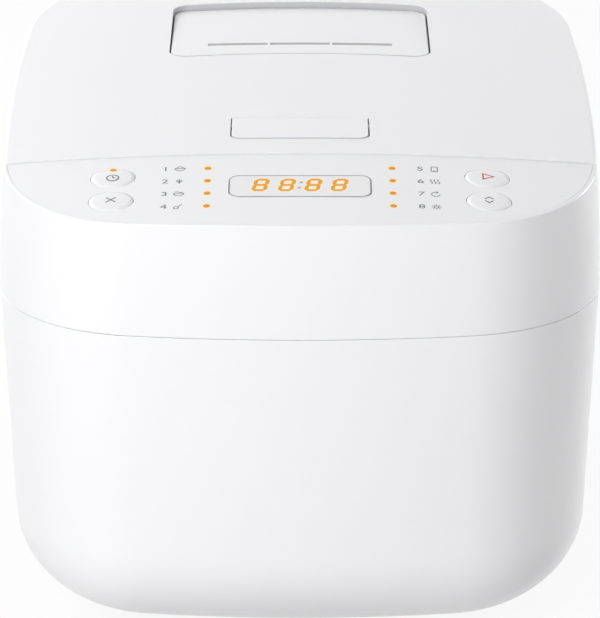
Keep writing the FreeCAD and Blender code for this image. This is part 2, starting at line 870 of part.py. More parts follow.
def inner_pot():
    inner = float(s.pot_radius)
    outer = float(s.pot_radius + s.pot_wall)
    rim, flange_low = float(pot_rim), float(s.deck_height)
    floor, bottom = float(pot_floor), float(pot_bottom)
    flange = float(s.pot_flange_radius)
    bead = (rim - flange_low) / 2
    outer_round = float(s.pot_base_round)
    inner_round = outer_round - float(s.pot_wall)

    def at(radius, z):
        return Vector(radius, 0, z)

    def base_arc(radius, z, turn):
        """The round between the floor and the wall."""
        slant = turn * (1 - math.sqrt(0.5))
        return Part.Arc(at(radius - turn, z), at(radius - slant, z + slant), at(radius, z + turn))
    edges = [
        Part.LineSegment(at(0, bottom), at(outer - outer_round, bottom)),
        base_arc(outer, bottom, outer_round),
        Part.LineSegment(at(outer, bottom + outer_round), at(outer, flange_low)),
        Part.LineSegment(at(outer, flange_low), at(flange - bead, flange_low)),
        Part.Arc(at(flange - bead, flange_low), at(flange, flange_low + bead), at(flange - bead, rim)),
        Part.LineSegment(at(flange - bead, rim), at(inner + bead, rim)),
        Part.Arc(at(inner + bead, rim), at(inner + bead * (1 - math.sqrt(0.5)),
                                           rim - bead * (1 - math.sqrt(0.5))), at(inner, rim - bead)),
        Part.LineSegment(at(inner, rim - bead), at(inner, floor + inner_round)),
        base_arc(inner, floor, inner_round),
        Part.LineSegment(at(inner - inner_round, floor), at(0, floor)),
        Part.LineSegment(at(0, floor), at(0, bottom)),
    ]
    outline = Part.Face(Part.Wire([edge.toShape() for edge in edges]))
    pot = feature("pot", outline.revolve(Vector(), Z_AXIS, 360))
    pot.Placement = Placement(Vector(0, float(s.pot_y), 0), Rotation())
    piece("inner_pot", pot)


# Power board and mains inlet

def power_group():
    board_low = s.shell_bottom + s.power_board_rise
    top = board_low + s.board_thickness
    middle = s.power_board_y
    spots = [(x, middle + y) for x, y in corners_of(s.power_board_width / 2 - s.power_screw_edge,
                                                    s.power_board_length / 2 - s.power_screw_edge)]
    blank = box("power_blank", span(0, s.power_board_width), span(middle, s.power_board_length),
                (board_low, top))
    piece("power_board", cut("power", blank, *holes("power_hole", spots, screw_hole, (board_low, top))))
    stands = [ring("stand%d" % index, screw_hole, s.screw_head_radius, x, y,
                   (s.shell_bottom, board_low)) for index, (x, y) in enumerate(spots)]
    piece("board_standoffs", group("stands", *stands))
    piece("power_board_screws", screws("power_screw", spots, top, top - s.power_screw_grip
                                       + s.board_thickness))
    piece("transformer", fuse(
        "transformer_whole",
        box("transformer_core", span(s.transformer_x, s.transformer_width),
            span(middle, s.transformer_length), (top, top + s.transformer_height)),
        box("transformer_coil", span(s.transformer_x, s.transformer_width - s.transformer_step * 2),
            span(middle, s.transformer_length - s.transformer_step * 2),
            (top, top + s.transformer_height + s.transformer_step))))
    piece("relay", box("relay_case", span(s.relay_x, s.relay_width), span(middle, s.relay_length),
                       (top, top + s.relay_height)))
    piece("capacitors", group("capacitor_set", *[
        cylinder("capacitor_%s" % name, s.capacitor_radius,
                 (s.capacitor_x, middle + s.capacitor_pitch / 2 * side, top), s.capacitor_height)
        for name, side in SIDES]))


def inlet_group():
    face, middle = s.inlet_face_y, s.inlet_height
    back = face - s.inlet_depth
    floor = face - s.inlet_recess
    seat = face - s.inlet_flange_thickness
    case = box("inlet_case", span(0, s.inlet_width), (back, face), span(middle, s.inlet_tall))
    flange = box("inlet_flange", span(0, s.inlet_flange_width), (seat, face),
                 span(middle, s.inlet_tall))
    recess = box("inlet_recess_form", span(0, s.inlet_width - s.inlet_wall * 2), (floor, face),
                 span(middle, s.inlet_tall - s.inlet_wall * 2))
    slots = []
    pins = []
    for index, (step, rise) in enumerate(((-1, 1), (0, -1), (1, 1))):
        x, z = s.blade_pitch * step, middle + s.blade_stagger * rise
        slots.append(box("blade_slot%d" % index, span(x, s.blade_width + s.running_gap * 2),
                         (back, floor), span(z, s.blade_height + s.running_gap * 2)))
        pins.append(box("blade%d" % index, span(x, s.blade_width),
                        (back - s.blade_tail, floor + s.pin_reach), span(z, s.blade_height)))
    spots = [side * (s.inlet_flange_width / 2 - s.inlet_screw_edge) for _, side in SIDES]
    drilled = []
    fixings = []
    for index, x in enumerate(spots):
        drilled.append(cylinder("inlet_hole%d" % index, screw_hole, (x, seat, middle),
                                s.inlet_flange_thickness, Y_AXIS))
        head = cylinder("inlet_head%d" % index, s.screw_head_radius, (x, face, middle),
                        s.inlet_head_height, Y_AXIS)
        shank = cylinder("inlet_shank%d" % index, s.screw_radius, (x, seat, middle),
                         s.inlet_flange_thickness, Y_AXIS)
        fixings.append(fuse("inlet_screw%d" % index, head, shank))
    piece("inlet_socket", cut("inlet", fuse("inlet_body", case, flange), recess, *slots, *drilled))
    piece("inlet_pins", group("blades", *pins))
    piece("inlet_screws", group("inlet_fixings", *fixings))


# Collar, control panel and its boards

def panel_frame(x, row, depth=0.0):
    """The place on the panel at x and row (up the slope), depth below the crowned surface."""
    radius = float(s.crown_radius)
    x = float(x)
    along = Vector(0, math.cos(PANEL_SLOPE), math.sin(PANEL_SLOPE))
    up = Vector(0, -math.sin(PANEL_SLOPE), math.cos(PANEL_SLOPE))
    lean = math.asin(x / radius)
    normal = X_AXIS * math.sin(lean) + up * math.cos(lean)
    base = (Vector(x, FRONT_Y, float(s.panel_edge_height)) + along * float(row)
            - up * radius * (1 - math.cos(lean)) - normal * float(depth))
    turn = Rotation(X_AXIS, float(s.panel_slope_deg)).multiply(Rotation(Y_AXIS, math.degrees(lean)))
    return Placement(base, turn)


def on_panel(obj, x, row, depth=0.0):
    """Seat a piece that was made about its own origin square to the crowned panel."""
    obj.Placement = panel_frame(x, row, depth)
    return obj


def on_board(obj, x, row, depth):
    """Seat a piece square to the flat board, depth below the panel's middle line."""
    flat = panel_frame(0, row, depth)
    obj.Placement = Placement(flat.multVec(Vector(float(x), 0, 0)), flat.Rotation)
    return obj


def upright(name, radius, height):
    """A cylinder about the origin, to be seated on the panel or the board."""
    obj = doc.addObject("Part::Cylinder", name)
    bind(obj, "Radius", radius)
    bind(obj, "Height", height)
    return obj


def oval(name, width, length, low, high, edge_round=0.0):
    """A prism of elliptic plan about the origin, with a round top edge."""
    low, high = float(low), float(high)
    curve = Part.Ellipse(Vector(0, 0, low), float(width) / 2, float(length) / 2)
    solid = Part.Face(Part.Wire([curve.toShape()])).extrude(Z_AXIS * (high - low))
    if float(edge_round):
        rim = [edge for edge in solid.Edges if abs(middle_of(edge).z - high) < 1e-6]
        solid = solid.makeFillet(float(edge_round), rim)
    return feature(name, solid)


def corner_edges(solid):
    return [edge for edge in solid.Edges
            if abs(edge.Vertexes[0].Z - edge.Vertexes[-1].Z) > 1e-6]


def rounded_plate(name, width, length, corner, low, high):
    """A plate with round corners about the origin."""
    w, d = float(width) / 2, float(length) / 2
    blank = Part.makeBox(2 * w, 2 * d, float(high) - float(low), Vector(-w, -d, float(low)))
    return feature(name, blank.makeFillet(float(corner), corner_edges(blank)))


KEYS = [
    ("key_upper_left", -s.key_column_x, s.key_row_upper),
    ("key_lower_left", -s.key_column_x, s.key_row_lower),
    ("key_upper_right", s.key_column_x, s.key_row_upper),
    ("key_lower_right", s.key_column_x, s.key_row_lower),
]
LIGHTS_IN_COLUMN = 4
LIGHT_SPOTS = [(side * s.light_column_x, s.light_row_first + s.light_row_pitch * index)
               for _, side in SIDES for index in range(LIGHTS_IN_COLUMN)]
BOARD_SPOTS = [(side * s.board_screw_x, row) for _, side in SIDES
               for row in (s.board_row_first + s.board_screw_edge,
                           s.board_row_last - s.board_screw_edge)]


def collar_solid():
    """The collar before its hollows: band, front and hinge block."""
    rear = s.body_depth
    low = s.seam_height
    skin = envelope("collar_skin", 0, low, SKY, s.seam_round)
    band = common("collar_band", skin, across("band_zone", (-rear, rear), (low, s.collar_top)))
    rim_end = s.lid_seam_y / 2
    blank = common("collar_front_blank", skin, panel_crown("collar_crown", 0),
                   across("front_blank_zone", (-rear, rim_end), (s.collar_top, SKY)))

    def rim_radius(spot):
        on_top = abs(spot.z - panel_top(spot.y) + crown_sag(spot.x)) < SURFACE_TOLERANCE
        return s.rim_round if on_top and spot.y < float(rim_end) - SURFACE_TOLERANCE else 0
    front = common("collar_front", rounded("collar_front_round", blank, rim_radius),
                   across("front_zone", (-rear, well_y), (s.collar_top, SKY)))
    block = common("collar_block", skin, lid_crown("housing_crown", s.housing_drop),
                   across("block_zone", (cradle_y, rear), (s.collar_top, SKY)))
    return fuse("collar_solid", band, front, block)


def collar_hollows():
    """What is cut out of the collar."""
    rear = s.body_depth
    wall = s.collar_wall
    lip = s.shell_wall + s.tongue_clearance * 2 + s.tongue_wall
    under = envelope("collar_under", wall, s.seam_height + s.tongue_wall, deck_low)
    mouth = feature("collar_mouth", plan_face(float(lip), float(s.seam_height)).extrude(
        Z_AXIS * float(s.tongue_wall)))
    inside = envelope("collar_inside", wall, s.deck_height, SKY)
    well = common("collar_well", inside, across("well_zone", (well_y, cradle_y), (s.deck_height, SKY)))
    chamber = common("collar_chamber", inside, across("chamber_zone", (-rear, well_y - s.well_wall),
                                                      (s.deck_height, SKY)))
    seat = common("seat_form", envelope("seat_skin", s.panel_rim, s.collar_top, SKY),
                  across("seat_zone", (-rear, well_y), (s.collar_top, SKY)))
    panel_seat = cut("panel_seat", seat, panel_crown("seat_floor", s.panel_thickness))
    opening = cylinder("collar_opening", s.deck_opening_radius, (0, s.pot_y, deck_low),
                       s.deck_thickness)
    axle_room = axle("axle_room", s.hinge_round + s.cradle_gap)
    swing_room = across("swing_room", (s.hinge_y - s.hinge_round, housing_y), (HINGE_Z, SKY))
    void_skin = envelope("void_skin", wall, s.seam_height, SKY)
    cradle_low = HINGE_Z - s.hinge_round - s.cradle_gap
    low_void = common("low_void", void_skin, across("low_void_zone", (cradle_y + wall, rear),
                                                    (deck_low, cradle_low - wall)))
    high_void = common("high_void", void_skin, lid_crown("void_crown", s.housing_drop + wall),
                       across("high_void_zone", (housing_y + wall, rear), (s.collar_top, SKY)))
    catch_slot = box("catch_slot", span(0, s.latch_width + s.fit_gap * 2),
                     (well_y - s.well_wall, well_y),
                     (s.latch_height - s.fit_gap, s.latch_height + s.latch_thickness + s.fit_gap))
    pilots = [cylinder("catch_pilot%d" % index, s.catch_screw_radius + s.running_gap,
                       (x, well_y - s.well_wall, s.latch_height - s.catch_screw_drop),
                       s.well_wall, Y_AXIS) for index, x in enumerate(CATCH_SCREWS)]
    return [under, mouth, well, chamber, panel_seat, opening, axle_room, swing_room, low_void,
            high_void, catch_slot] + pilots


def upper_collar():
    shape = cut("collar_shape", collar_solid(), *collar_hollows())
    tongue_inset = float(s.shell_wall + s.tongue_clearance * 2)
    tongue_low = float(s.seam_height - s.tongue_depth)
    tongue, tongue_hole = [
        feature(name, plan_face(inset, tongue_low).extrude(Z_AXIS * float(s.tongue_depth)))
        for name, inset in (("tongue_outside", tongue_inset),
                            ("tongue_inside", tongue_inset + float(s.tongue_wall)))]
    ears = []
    reach = s.hinge_pin_radius + s.hinge_ear_wall
    for name, side in SIDES:
        limits = span(side * s.hinge_ear_x, s.hinge_ear_width)
        ears.append(box("ear_post_" + name, limits, (s.hinge_y - reach, s.hinge_y + reach),
                        (deck_low, HINGE_Z)))
        ears.append(axle("ear_eye_" + name, reach, limits))
    whole = fuse("collar_whole", shape, cut("tongue_ring", tongue, tongue_hole), *ears)
    piece("upper_collar", cut("collar", whole, axle("ear_bore", s.hinge_pin_radius + s.running_gap)))


def latch_catch():
    plate_y = well_y - s.well_wall
    front = plate_y - s.catch_plate_thickness
    screw_z = s.latch_height - s.catch_screw_drop
    plate = box("catch_plate", span(0, s.latch_width + s.catch_plate_margin * 2), (front, plate_y),
                span(s.latch_height, s.catch_plate_rise * 2))
    tongue = box("catch_tongue", span(0, s.latch_width), (front, well_y + s.latch_reach),
                 (s.latch_height, s.latch_height + s.latch_thickness))
    drilled = []
    fixings = []
    for index, x in enumerate(CATCH_SCREWS):
        drilled.append(cylinder("catch_hole%d" % index, s.catch_screw_radius + s.running_gap,
                                (x, front, screw_z), s.catch_plate_thickness, Y_AXIS))
        head = cylinder("catch_head%d" % index, s.catch_head_radius,
                        (x, front - s.screw_head_height, screw_z), s.screw_head_height, Y_AXIS)
        shank = cylinder("catch_shank%d" % index, s.catch_screw_radius, (x, front, screw_z),
                         s.catch_plate_thickness + s.well_wall, Y_AXIS)
        fixings.append(fuse("catch_screw%d" % index, head, shank))
    piece("latch_catch", cut("catch", fuse("catch_body", plate, tongue), *drilled))
    piece("catch_screws", group("catch_fixings", *fixings))


def control_panel():
    slab = common("panel_slab", envelope("panel_skin", s.panel_rim + s.panel_clearance,
                                         s.collar_top, SKY),
                  panel_crown("panel_top", 0),
                  across("panel_zone", (-s.body_depth, well_y), (s.collar_top, SKY)))
    deep = s.panel_thickness * 2
    cuts = [panel_crown("panel_under", s.panel_thickness)]
    for name, x, row in KEYS:
        cuts.append(on_panel(oval(name + "_hole", s.key_width + s.key_gap * 2,
                                  s.key_length + s.key_gap * 2, -deep, deep), x, row))
    for index, (x, row) in enumerate(LIGHT_SPOTS):
        cuts.append(on_panel(upright("light_hole%d" % index, s.light_radius + s.running_gap, deep * 2),
                             x, row, deep))
    cuts.append(on_panel(rounded_plate("window_hole", s.window_width + s.panel_clearance * 2,
                                       s.window_length + s.panel_clearance * 2,
                                       s.window_corner + s.panel_clearance, -deep, deep),
                         0, s.window_row))
    plate = cut("panel_plate", slab, *cuts)
    posts = []
    pilots = []
    for index, (x, row) in enumerate(BOARD_SPOTS):
        reach = s.board_depth - s.panel_thickness - crown_sag(x)
        posts.append(on_board(upright("panel_post%d" % index, s.screw_head_radius,
                                      reach + s.panel_thickness / 2), x, row, s.board_depth))
        pilots.append(on_board(upright("panel_pilot%d" % index, screw_hole, reach), x, row,
                               s.board_depth))
    piece("control_panel", cut("panel", fuse("panel_whole", plate, *posts), *pilots))


def panel_fittings():
    window = rounded_plate("window", s.window_width, s.window_length, s.window_corner,
                           -s.window_thickness, 0)
    piece("display_window", on_panel(window, 0, s.window_row))
    lights = []
    for index, (x, row) in enumerate(LIGHT_SPOTS):
        length = s.board_depth - s.fit_gap - crown_sag(x)
        lights.append(on_panel(upright("light%d" % index, s.light_radius, length), x, row, length))
    piece("indicator_lenses", group("lights", *lights))


def display_board():
    under = s.board_depth + s.board_thickness
    blank = rounded_plate("board_blank", s.board_half_width * 2, s.board_row_last - s.board_row_first,
                          s.board_corner, -s.board_thickness, 0)
    on_board(blank, 0, (s.board_row_first + s.board_row_last) / 2, s.board_depth)
    drilled = []
    fixings = []
    for index, (x, row) in enumerate(BOARD_SPOTS):
        drilled.append(on_board(upright("board_hole%d" % index, screw_hole, s.board_thickness),
                                x, row, under))
        head = on_board(upright("board_head%d" % index, s.screw_head_radius, s.screw_head_height),
                        x, row, under + s.screw_head_height)
        shank = on_board(upright("board_shank%d" % index, s.screw_radius,
                                 s.board_thickness + s.board_screw_grip), x, row, under)
        fixings.append(fuse("board_screw%d" % index, head, shank))
    piece("display_board", cut("board", blank, *drilled))
    piece("board_screws", group("board_fixings", *fixings))
    module_top = s.window_thickness + s.fit_gap
    module = rounded_plate("module", s.digit_width, s.digit_length, s.digit_corner,
                           module_top - s.board_depth, 0)
    piece("digit_display", on_board(module, 0, s.window_row, module_top))
    switches = []
    case_top = s.board_depth - s.switch_height
    for name, x, row in KEYS:
        case = rounded_plate(name + "_switch_case", s.switch_width, s.switch_width, s.switch_round,
                             case_top - s.board_depth, 0)
        knob = upright(name + "_switch_knob", s.switch_knob_radius, s.switch_knob_height)
        switches.append(fuse(name + "_switch", on_board(case, x, row, case_top),
                             on_board(knob, x, row, case_top)))
    piece("key_switches", group("switches", *switches))


def keys():
    flange_top = -s.panel_thickness - s.fit_gap
    stem_low = -s.key_thickness - s.key_stem_length
    light_row = s.light_row_first + s.light_row_pitch * (LIGHTS_IN_COLUMN - 1)
    for name, x, row in KEYS:
        cap = oval(name + "_cap", s.key_width, s.key_length, -s.key_thickness, s.key_proud, s.key_round)
        neck = oval(name + "_neck", s.key_width - s.key_flange, s.key_length - s.key_flange,
                    flange_top, -s.key_thickness)
        flange = oval(name + "_flange", s.key_width + s.key_flange * 2,
                      s.key_length + s.key_flange * 2, flange_top - s.key_flange_thickness, flange_top)
        stem = upright(name + "_stem", s.key_stem_radius, s.key_stem_length)
        stem.Placement = Placement(Vector(0, 0, float(stem_low)), Rotation())
        whole = fuse(name + "_whole", cap, neck, flange, stem)
        if name == "key_upper_left":
            seat = Vector(0, float(light_row - row), -float(s.key_thickness))
            room = upright("timer_room", s.light_radius + s.running_gap, s.key_thickness * 2)
            room.Placement = Placement(seat, Rotation())
            whole = cut(name + "_lit", whole, room)
            lens = upright("timer_lens", s.light_radius, s.key_thickness + s.key_proud)
            lens.Placement = panel_frame(x, row).multiply(Placement(seat, Rotation()))
            piece("timer_light", lens)
        piece(name, on_panel(whole, x, row))


# Lid

def lid_zone(name, margin):
    """The lid's side outline, drawn in by margin, right across the body."""
    lean = math.tan(math.radians(float(s.lid_front_draft_deg)))
    margin = float(margin)
    front = float(lid_front_y) + margin
    rear = HINGE_Y - margin
    low = float(s.deck_height if margin else s.lid_bottom)
    ends = [(front + (HINGE_Z - low) * lean, low), (rear, low), (rear, SKY),
            (front + (HINGE_Z - SKY) * lean, SKY)]
    points = [Vector(-float(FAR), y, z) for y, z in ends]
    face = Part.Face(Part.makePolygon(points + points[:1]))
    prism = feature(name + "_prism", face.extrude(X_AXIS * 2 * float(FAR)))
    return fuse(name, prism, axle(name + "_round", s.hinge_round - margin))


def bowed_form(name, margin, low, high):
    """The vent's plan, grown by margin: straight sides, bowed front and rear, round corners."""
    margin = float(margin)
    half = float(s.vent_width) / 2 + margin
    front, rear = float(s.vent_front_y) - margin, float(s.vent_rear_y) + margin
    bow = float(s.vent_bow_radius)
    drop = bow - math.sqrt(bow ** 2 - half ** 2)
    low, high = float(low), float(high)

    def at(x, y):
        return Vector(x, y, low)
    edges = [
        Part.Arc(at(-half, front - drop), at(0, front), at(half, front - drop)),
        Part.LineSegment(at(half, front - drop), at(half, rear - drop)),
        Part.Arc(at(half, rear - drop), at(0, rear), at(-half, rear - drop)),
        Part.LineSegment(at(-half, rear - drop), at(-half, front - drop)),
    ]
    face = Part.Face(Part.Wire([edge.toShape() for edge in edges]))
    solid = face.extrude(Z_AXIS * (high - low))
    return feature(name, solid.makeFillet(float(s.vent_corner) + margin, corner_edges(solid)))


def paddle_form(name, margin, rear_margin, low, high):
    """The paddle's plan, grown by margin in front and at the sides: round front corners."""
    half = float(s.paddle_width) / 2 + float(margin)
    front = float(s.paddle_front_y) - float(margin)
    rear = float(s.paddle_rear_y) + float(rear_margin)
    blank = Part.makeBox(2 * half, rear - front, float(high) - float(low),
                         Vector(-half, front, float(low)))
    front_corners = [edge for edge in corner_edges(blank) if edge.Vertexes[0].Y < rear - SURFACE_TOLERANCE]
    return feature(name, blank.makeFillet(float(s.paddle_corner) + float(margin), front_corners))


def lid_outside():
    """The lid's outside with its edges rounded."""
    blank = common("lid_blank", envelope("lid_skin", 0, s.seam_height, SKY),
                   lid_crown("lid_top_form", 0), lid_zone("lid_zone", 0))

    def edge_radius(spot):
        on_top = abs(spot.z - lid_top(spot.y) + crown_sag(spot.x)) < SURFACE_TOLERANCE
        beside = float(lid_front_y) + SURFACE_TOLERANCE < spot.y < HINGE_Y - SURFACE_TOLERANCE
        return s.lid_edge_round if on_top and beside and abs(spot.x) > SURFACE_TOLERANCE else 0
    return rounded("lid_outside", blank, edge_radius)


def lid_fittings(outside):
    """Bosses, vent tub, paddle shelf and hinge knuckles inside the lid."""
    bosses = [cylinder("lid_boss%d" % index, s.screw_head_radius + s.screw_radius, (x, y, lid_plate_top),
                       s.lid_bottom) for index, (x, y) in enumerate(LID_SCREWS)]
    tub = bowed_form("vent_tub", s.vent_gap + s.vent_wall, tub_low, SKY)
    half = s.paddle_width / 2 + s.paddle_gap + s.cheek_gap
    reach = half + s.cheek_thickness
    shelf_y = (s.paddle_front_y + s.shelf_margin, s.paddle_rear_y + s.shelf_thickness)
    shelf = box("release_shelf", (-reach, reach), shelf_y, (s.latch_height, shelf_top))
    cheeks = [box("release_cheek_left", (-reach, -half), shelf_y, (s.latch_height, SKY)),
              box("release_cheek_right", (half, reach), shelf_y, (s.latch_height, SKY))]
    knuckles = []
    for tag, limits in KNUCKLES:
        knuckles.append(axle("knuckle_" + tag, s.knuckle_radius, limits))
        knuckles.append(box("knuckle_web_" + tag, limits, span(s.hinge_y, s.knuckle_radius * 2),
                            (HINGE_Z, SKY)))
    return common("lid_extras", outside,
                  fuse("lid_extra_forms", *bosses, tub, shelf, *cheeks, *knuckles))


def knuckle_limits():
    """The x limits of the lid's knuckles, either side of each ear of the collar."""
    knuckles = []
    for name, side in SIDES:
        for step_name, step in (("inner", -1), ("outer", 1)):
            centre = side * (s.hinge_ear_x + step * (s.hinge_ear_width / 2 + s.hinge_ear_gap
                                                     + s.knuckle_width / 2))
            knuckles.append(("%s_%s" % (name, step_name), span(centre, s.knuckle_width)))
    return knuckles


KNUCKLES = knuckle_limits()


def ear_slots(name, top):
    """Room for the collar's ears in a piece of the lid."""
    return [box("%s_%s" % (name, tag),
                span(side * s.hinge_ear_x, s.hinge_ear_width + s.hinge_ear_gap * 2),
                (s.hinge_y - s.ear_slot_reach, s.body_depth), (deck_low, top)) for tag, side in SIDES]


def lid_cover():
    outside = lid_outside()
    inside = common("lid_inside", envelope("lid_inner_skin", s.lid_wall, s.seam_height, SKY),
                    lid_crown("lid_inner_top", s.lid_wall), lid_zone("lid_inner_zone", s.lid_wall))
    whole = fuse("lid_whole", cut("lid_walls", outside, inside), lid_fittings(outside))
    reach = s.paddle_width / 2 + s.paddle_gap + s.cheek_gap + s.cheek_thickness
    bore = common("lid_bore", axle("bush_seat", s.hinge_pin_radius + s.bush_wall + s.running_gap * 2),
                  box("bore_zone", span(0, s.hinge_pin_length + s.knuckle_width),
                      span(s.hinge_y, s.hinge_round), span(HINGE_Z, s.hinge_round)))
    cuts = [
        bowed_form("vent_recess", s.vent_gap, s.vent_floor, SKY),
        cylinder("steam_hole", s.steam_radius, (0, s.steam_y, tub_low), s.vent_wall),
        paddle_form("paddle_hole", s.paddle_gap, s.paddle_rear_gap,
                    PIVOT_Z - s.paddle_thickness * 2, SKY),
        cylinder("pivot_bore", s.pivot_radius + s.running_gap, (-reach, s.pivot_y, PIVOT_Z),
                 reach * 2, X_AXIS),
        bore,
        box("catch_notch", span(0, s.latch_width + s.notch_margin * 2),
            (well_y, lid_front_y + s.notch_depth),
            (s.deck_height, s.latch_height + s.latch_thickness + s.notch_margin)),
    ]
    cuts += ear_slots("ear_slot", HINGE_Z + s.ear_slot_rise)
    cuts += holes("lid_pilot", LID_SCREWS, screw_hole,
                  (lid_plate_top, lid_plate_top + s.lid_pilot_depth))
    piece("lid_cover", cut("lid", whole, *cuts))


def lid_liner():
    gap = s.lid_wall + s.fit_gap
    form = common("liner_form", envelope("liner_skin", gap, s.seam_height, SKY),
                  lid_zone("liner_zone", gap),
                  across("liner_layer", (-s.body_depth, s.hinge_y), (lid_plate_low, lid_plate_top)))
    layer = (lid_plate_low, lid_plate_top)
    cuts = ear_slots("liner_slot", lid_plate_top)
    cuts.append(box("liner_notch", span(0, s.latch_width + s.notch_margin * 2),
                    (-s.body_depth, lid_front_y + s.notch_depth + s.catch_screw_margin),
                    (deck_low, lid_plate_top)))
    cuts += holes("liner_steam", [(0, s.steam_y)], s.steam_radius, layer)
    cuts += holes("liner_clip", [(0, s.pot_y)], s.clip_neck_radius + s.running_gap, layer)
    cuts += holes("liner_probe", [(0, s.probe_y)], s.probe_radius + s.running_gap, layer)
    cuts += holes("liner_hole", LID_SCREWS, s.screw_radius + s.fit_gap, layer)
    piece("lid_liner", cut("liner_plate", form, *cuts))
    piece("lid_screws", screws("lid_screw", LID_SCREWS, lid_plate_low, lid_plate_top + s.lid_screw_grip))


def inner_lid():
    layer = (disc_low, disc_top)
    disc = cylinder("inner_disc", s.inner_lid_radius, (0, s.pot_y, disc_low), s.inner_lid_thickness)
    ports = []
    for index in range(6):
        turn = math.radians(60 * index)
        ports.append((s.steam_hole_circle * math.cos(turn),
                      s.steam_y + s.steam_hole_circle * math.sin(turn)))
    cuts = holes("disc_port", ports, s.steam_hole_radius, layer)
    cuts += holes("disc_clip", [(0, s.pot_y)], s.clip_neck_radius + s.running_gap, layer)
    cuts += holes("disc_probe", [(0, s.probe_y)], s.probe_radius + s.fit_gap, layer)
    piece("inner_lid_plate", cut("inner_plate", disc, *cuts))
    edge, grip, slack = s.inner_lid_radius, s.inner_lid_radius - s.gasket_grip, s.running_gap
    ceiling = lid_plate_low - slack
    seat = pot_rim + s.fit_gap
    piece("inner_lid_gasket", turned("gasket", [
        (grip, disc_low - s.gasket_lip), (s.gasket_radius - s.pot_wall, seat),
        (s.gasket_radius, seat), (s.gasket_radius, ceiling), (grip, ceiling), (grip, disc_top + slack),
        (edge + slack, disc_top + slack), (edge + slack, disc_low - slack), (grip, disc_low - slack)],
        s.pot_y))
    knob_low = disc_low - s.clip_knob_height
    piece("inner_lid_clip", fuse(
        "clip",
        cylinder("clip_knob", s.clip_knob_radius, (0, s.pot_y, knob_low), s.clip_knob_height),
        cylinder("clip_neck", s.clip_neck_radius, (0, s.pot_y, knob_low), lid_plate_top - knob_low),
        cylinder("clip_head", s.clip_head_radius, (0, s.pot_y, lid_plate_top), s.clip_head_height)))
    tip_low = disc_low - s.probe_reach
    piece("lid_sensor", fuse(
        "probe",
        cylinder("probe_tip", s.probe_radius, (0, s.probe_y, tip_low), lid_plate_top - tip_low),
        cylinder("probe_body", s.probe_body_radius, (0, s.probe_y, lid_plate_top),
                 s.probe_body_height)))


def steam_way():
    outer = s.steam_radius + s.steam_wall
    rise = tub_low - lid_plate_top
    foot = (0, s.steam_y, lid_plate_top)
    piece("steam_tube", cut(
        "steam_pipe",
        fuse("steam_body", cylinder("steam_outer", outer, foot, rise),
             cylinder("steam_foot", s.steam_foot_radius, foot, s.steam_foot_height)),
        cylinder("steam_inner", s.steam_radius, foot, rise)))
    piece("steam_seal", ring("steam_gasket", s.steam_radius, outer, 0, s.steam_y,
                             (disc_top, lid_plate_low)))


def hinge_group():
    piece("hinge_pin", axle("hinge_rod", s.hinge_pin_radius, span(0, s.hinge_pin_length)))
    bushes = [cut("bush_" + tag,
                  axle("bush_outer_" + tag, s.hinge_pin_radius + s.bush_wall + s.running_gap, limits),
                  axle("bush_inner_" + tag, s.hinge_pin_radius + s.running_gap, limits))
              for tag, limits in KNUCKLES]
    piece("hinge_bushes", group("bushes", *bushes))
    inner = s.hinge_pin_radius + s.fit_gap
    coils = []
    for name, side in SIDES:
        limits = span(side * s.hinge_spring_x, s.hinge_spring_length)
        coils.append(cut("hinge_coil_" + name,
                         axle("hinge_coil_outer_" + name, inner + s.hinge_spring_wall, limits),
                         axle("hinge_coil_inner_" + name, inner, limits)))
    piece("hinge_springs", group("hinge_coils", *coils))


def release_button():
    half = s.paddle_width / 2
    rear = float(s.paddle_rear_y)
    rise = math.degrees(math.atan2(float(s.paddle_rise), rear - float(s.paddle_front_y)))
    slope_deg = float(s.lid_slope_deg) - rise
    blank = common("paddle_blank", paddle_form("paddle_block", 0, 0, PADDLE_LOW, SKY),
                   crown("paddle_top", rear, lid_top(rear), slope_deg, 0))
    slope = math.tan(math.radians(slope_deg))

    def edge_radius(spot):
        height = lid_top(rear) + (spot.y - rear) * slope - crown_sag(spot.x)
        front_or_side = abs(spot.y - rear) > SURFACE_TOLERANCE
        return s.paddle_round if front_or_side and abs(spot.z - height) < SURFACE_TOLERANCE else 0
    bore = cylinder("paddle_bore", s.pivot_radius + s.running_gap, (-half, s.pivot_y, PIVOT_Z),
                    s.paddle_width, X_AXIS)
    piece("release_button", cut("paddle", rounded("paddle_rounded", blank, edge_radius), bore))


def latch_hook():
    x = span(0, s.hook_width)
    nose_top = s.latch_height - s.fit_gap
    nose_low = nose_top - s.hook_thickness
    nose_y = well_y + s.latch_reach - s.hook_bite
    leg_y = s.paddle_front_y - s.hook_leg_reach
    leg_back = leg_y + s.hook_leg_thickness
    root_y = s.paddle_front_y + s.hook_root_reach
    root_back = root_y + s.hook_root_length
    arm_top = PADDLE_LOW - s.hook_drop
    arm_low = arm_top - s.hook_leg_thickness
    piece("latch_hook", fuse(
        "hook",
        box("hook_nose", x, (nose_y, leg_back), (nose_low, nose_top)),
        box("hook_leg", x, (leg_y, leg_back), (nose_low, arm_top)),
        box("hook_arm", x, (leg_y, root_back), (arm_low, arm_top)),
        box("hook_root", x, (root_y, root_back), (arm_low, PADDLE_LOW))))


def release_fittings():
    reach = s.paddle_width / 2 + s.paddle_gap + s.cheek_gap + s.cheek_thickness
    piece("release_pivot_pin", cylinder("pivot_rod", s.pivot_radius, (-reach, s.pivot_y, PIVOT_Z),
                                        reach * 2, X_AXIS))
    middle = (s.paddle_front_y + s.paddle_rear_y) / 2
    piece("release_spring", ring("release_coil", s.release_spring_inner, s.release_spring_outer,
                                 s.hook_width, middle, (shelf_top, PADDLE_LOW)))


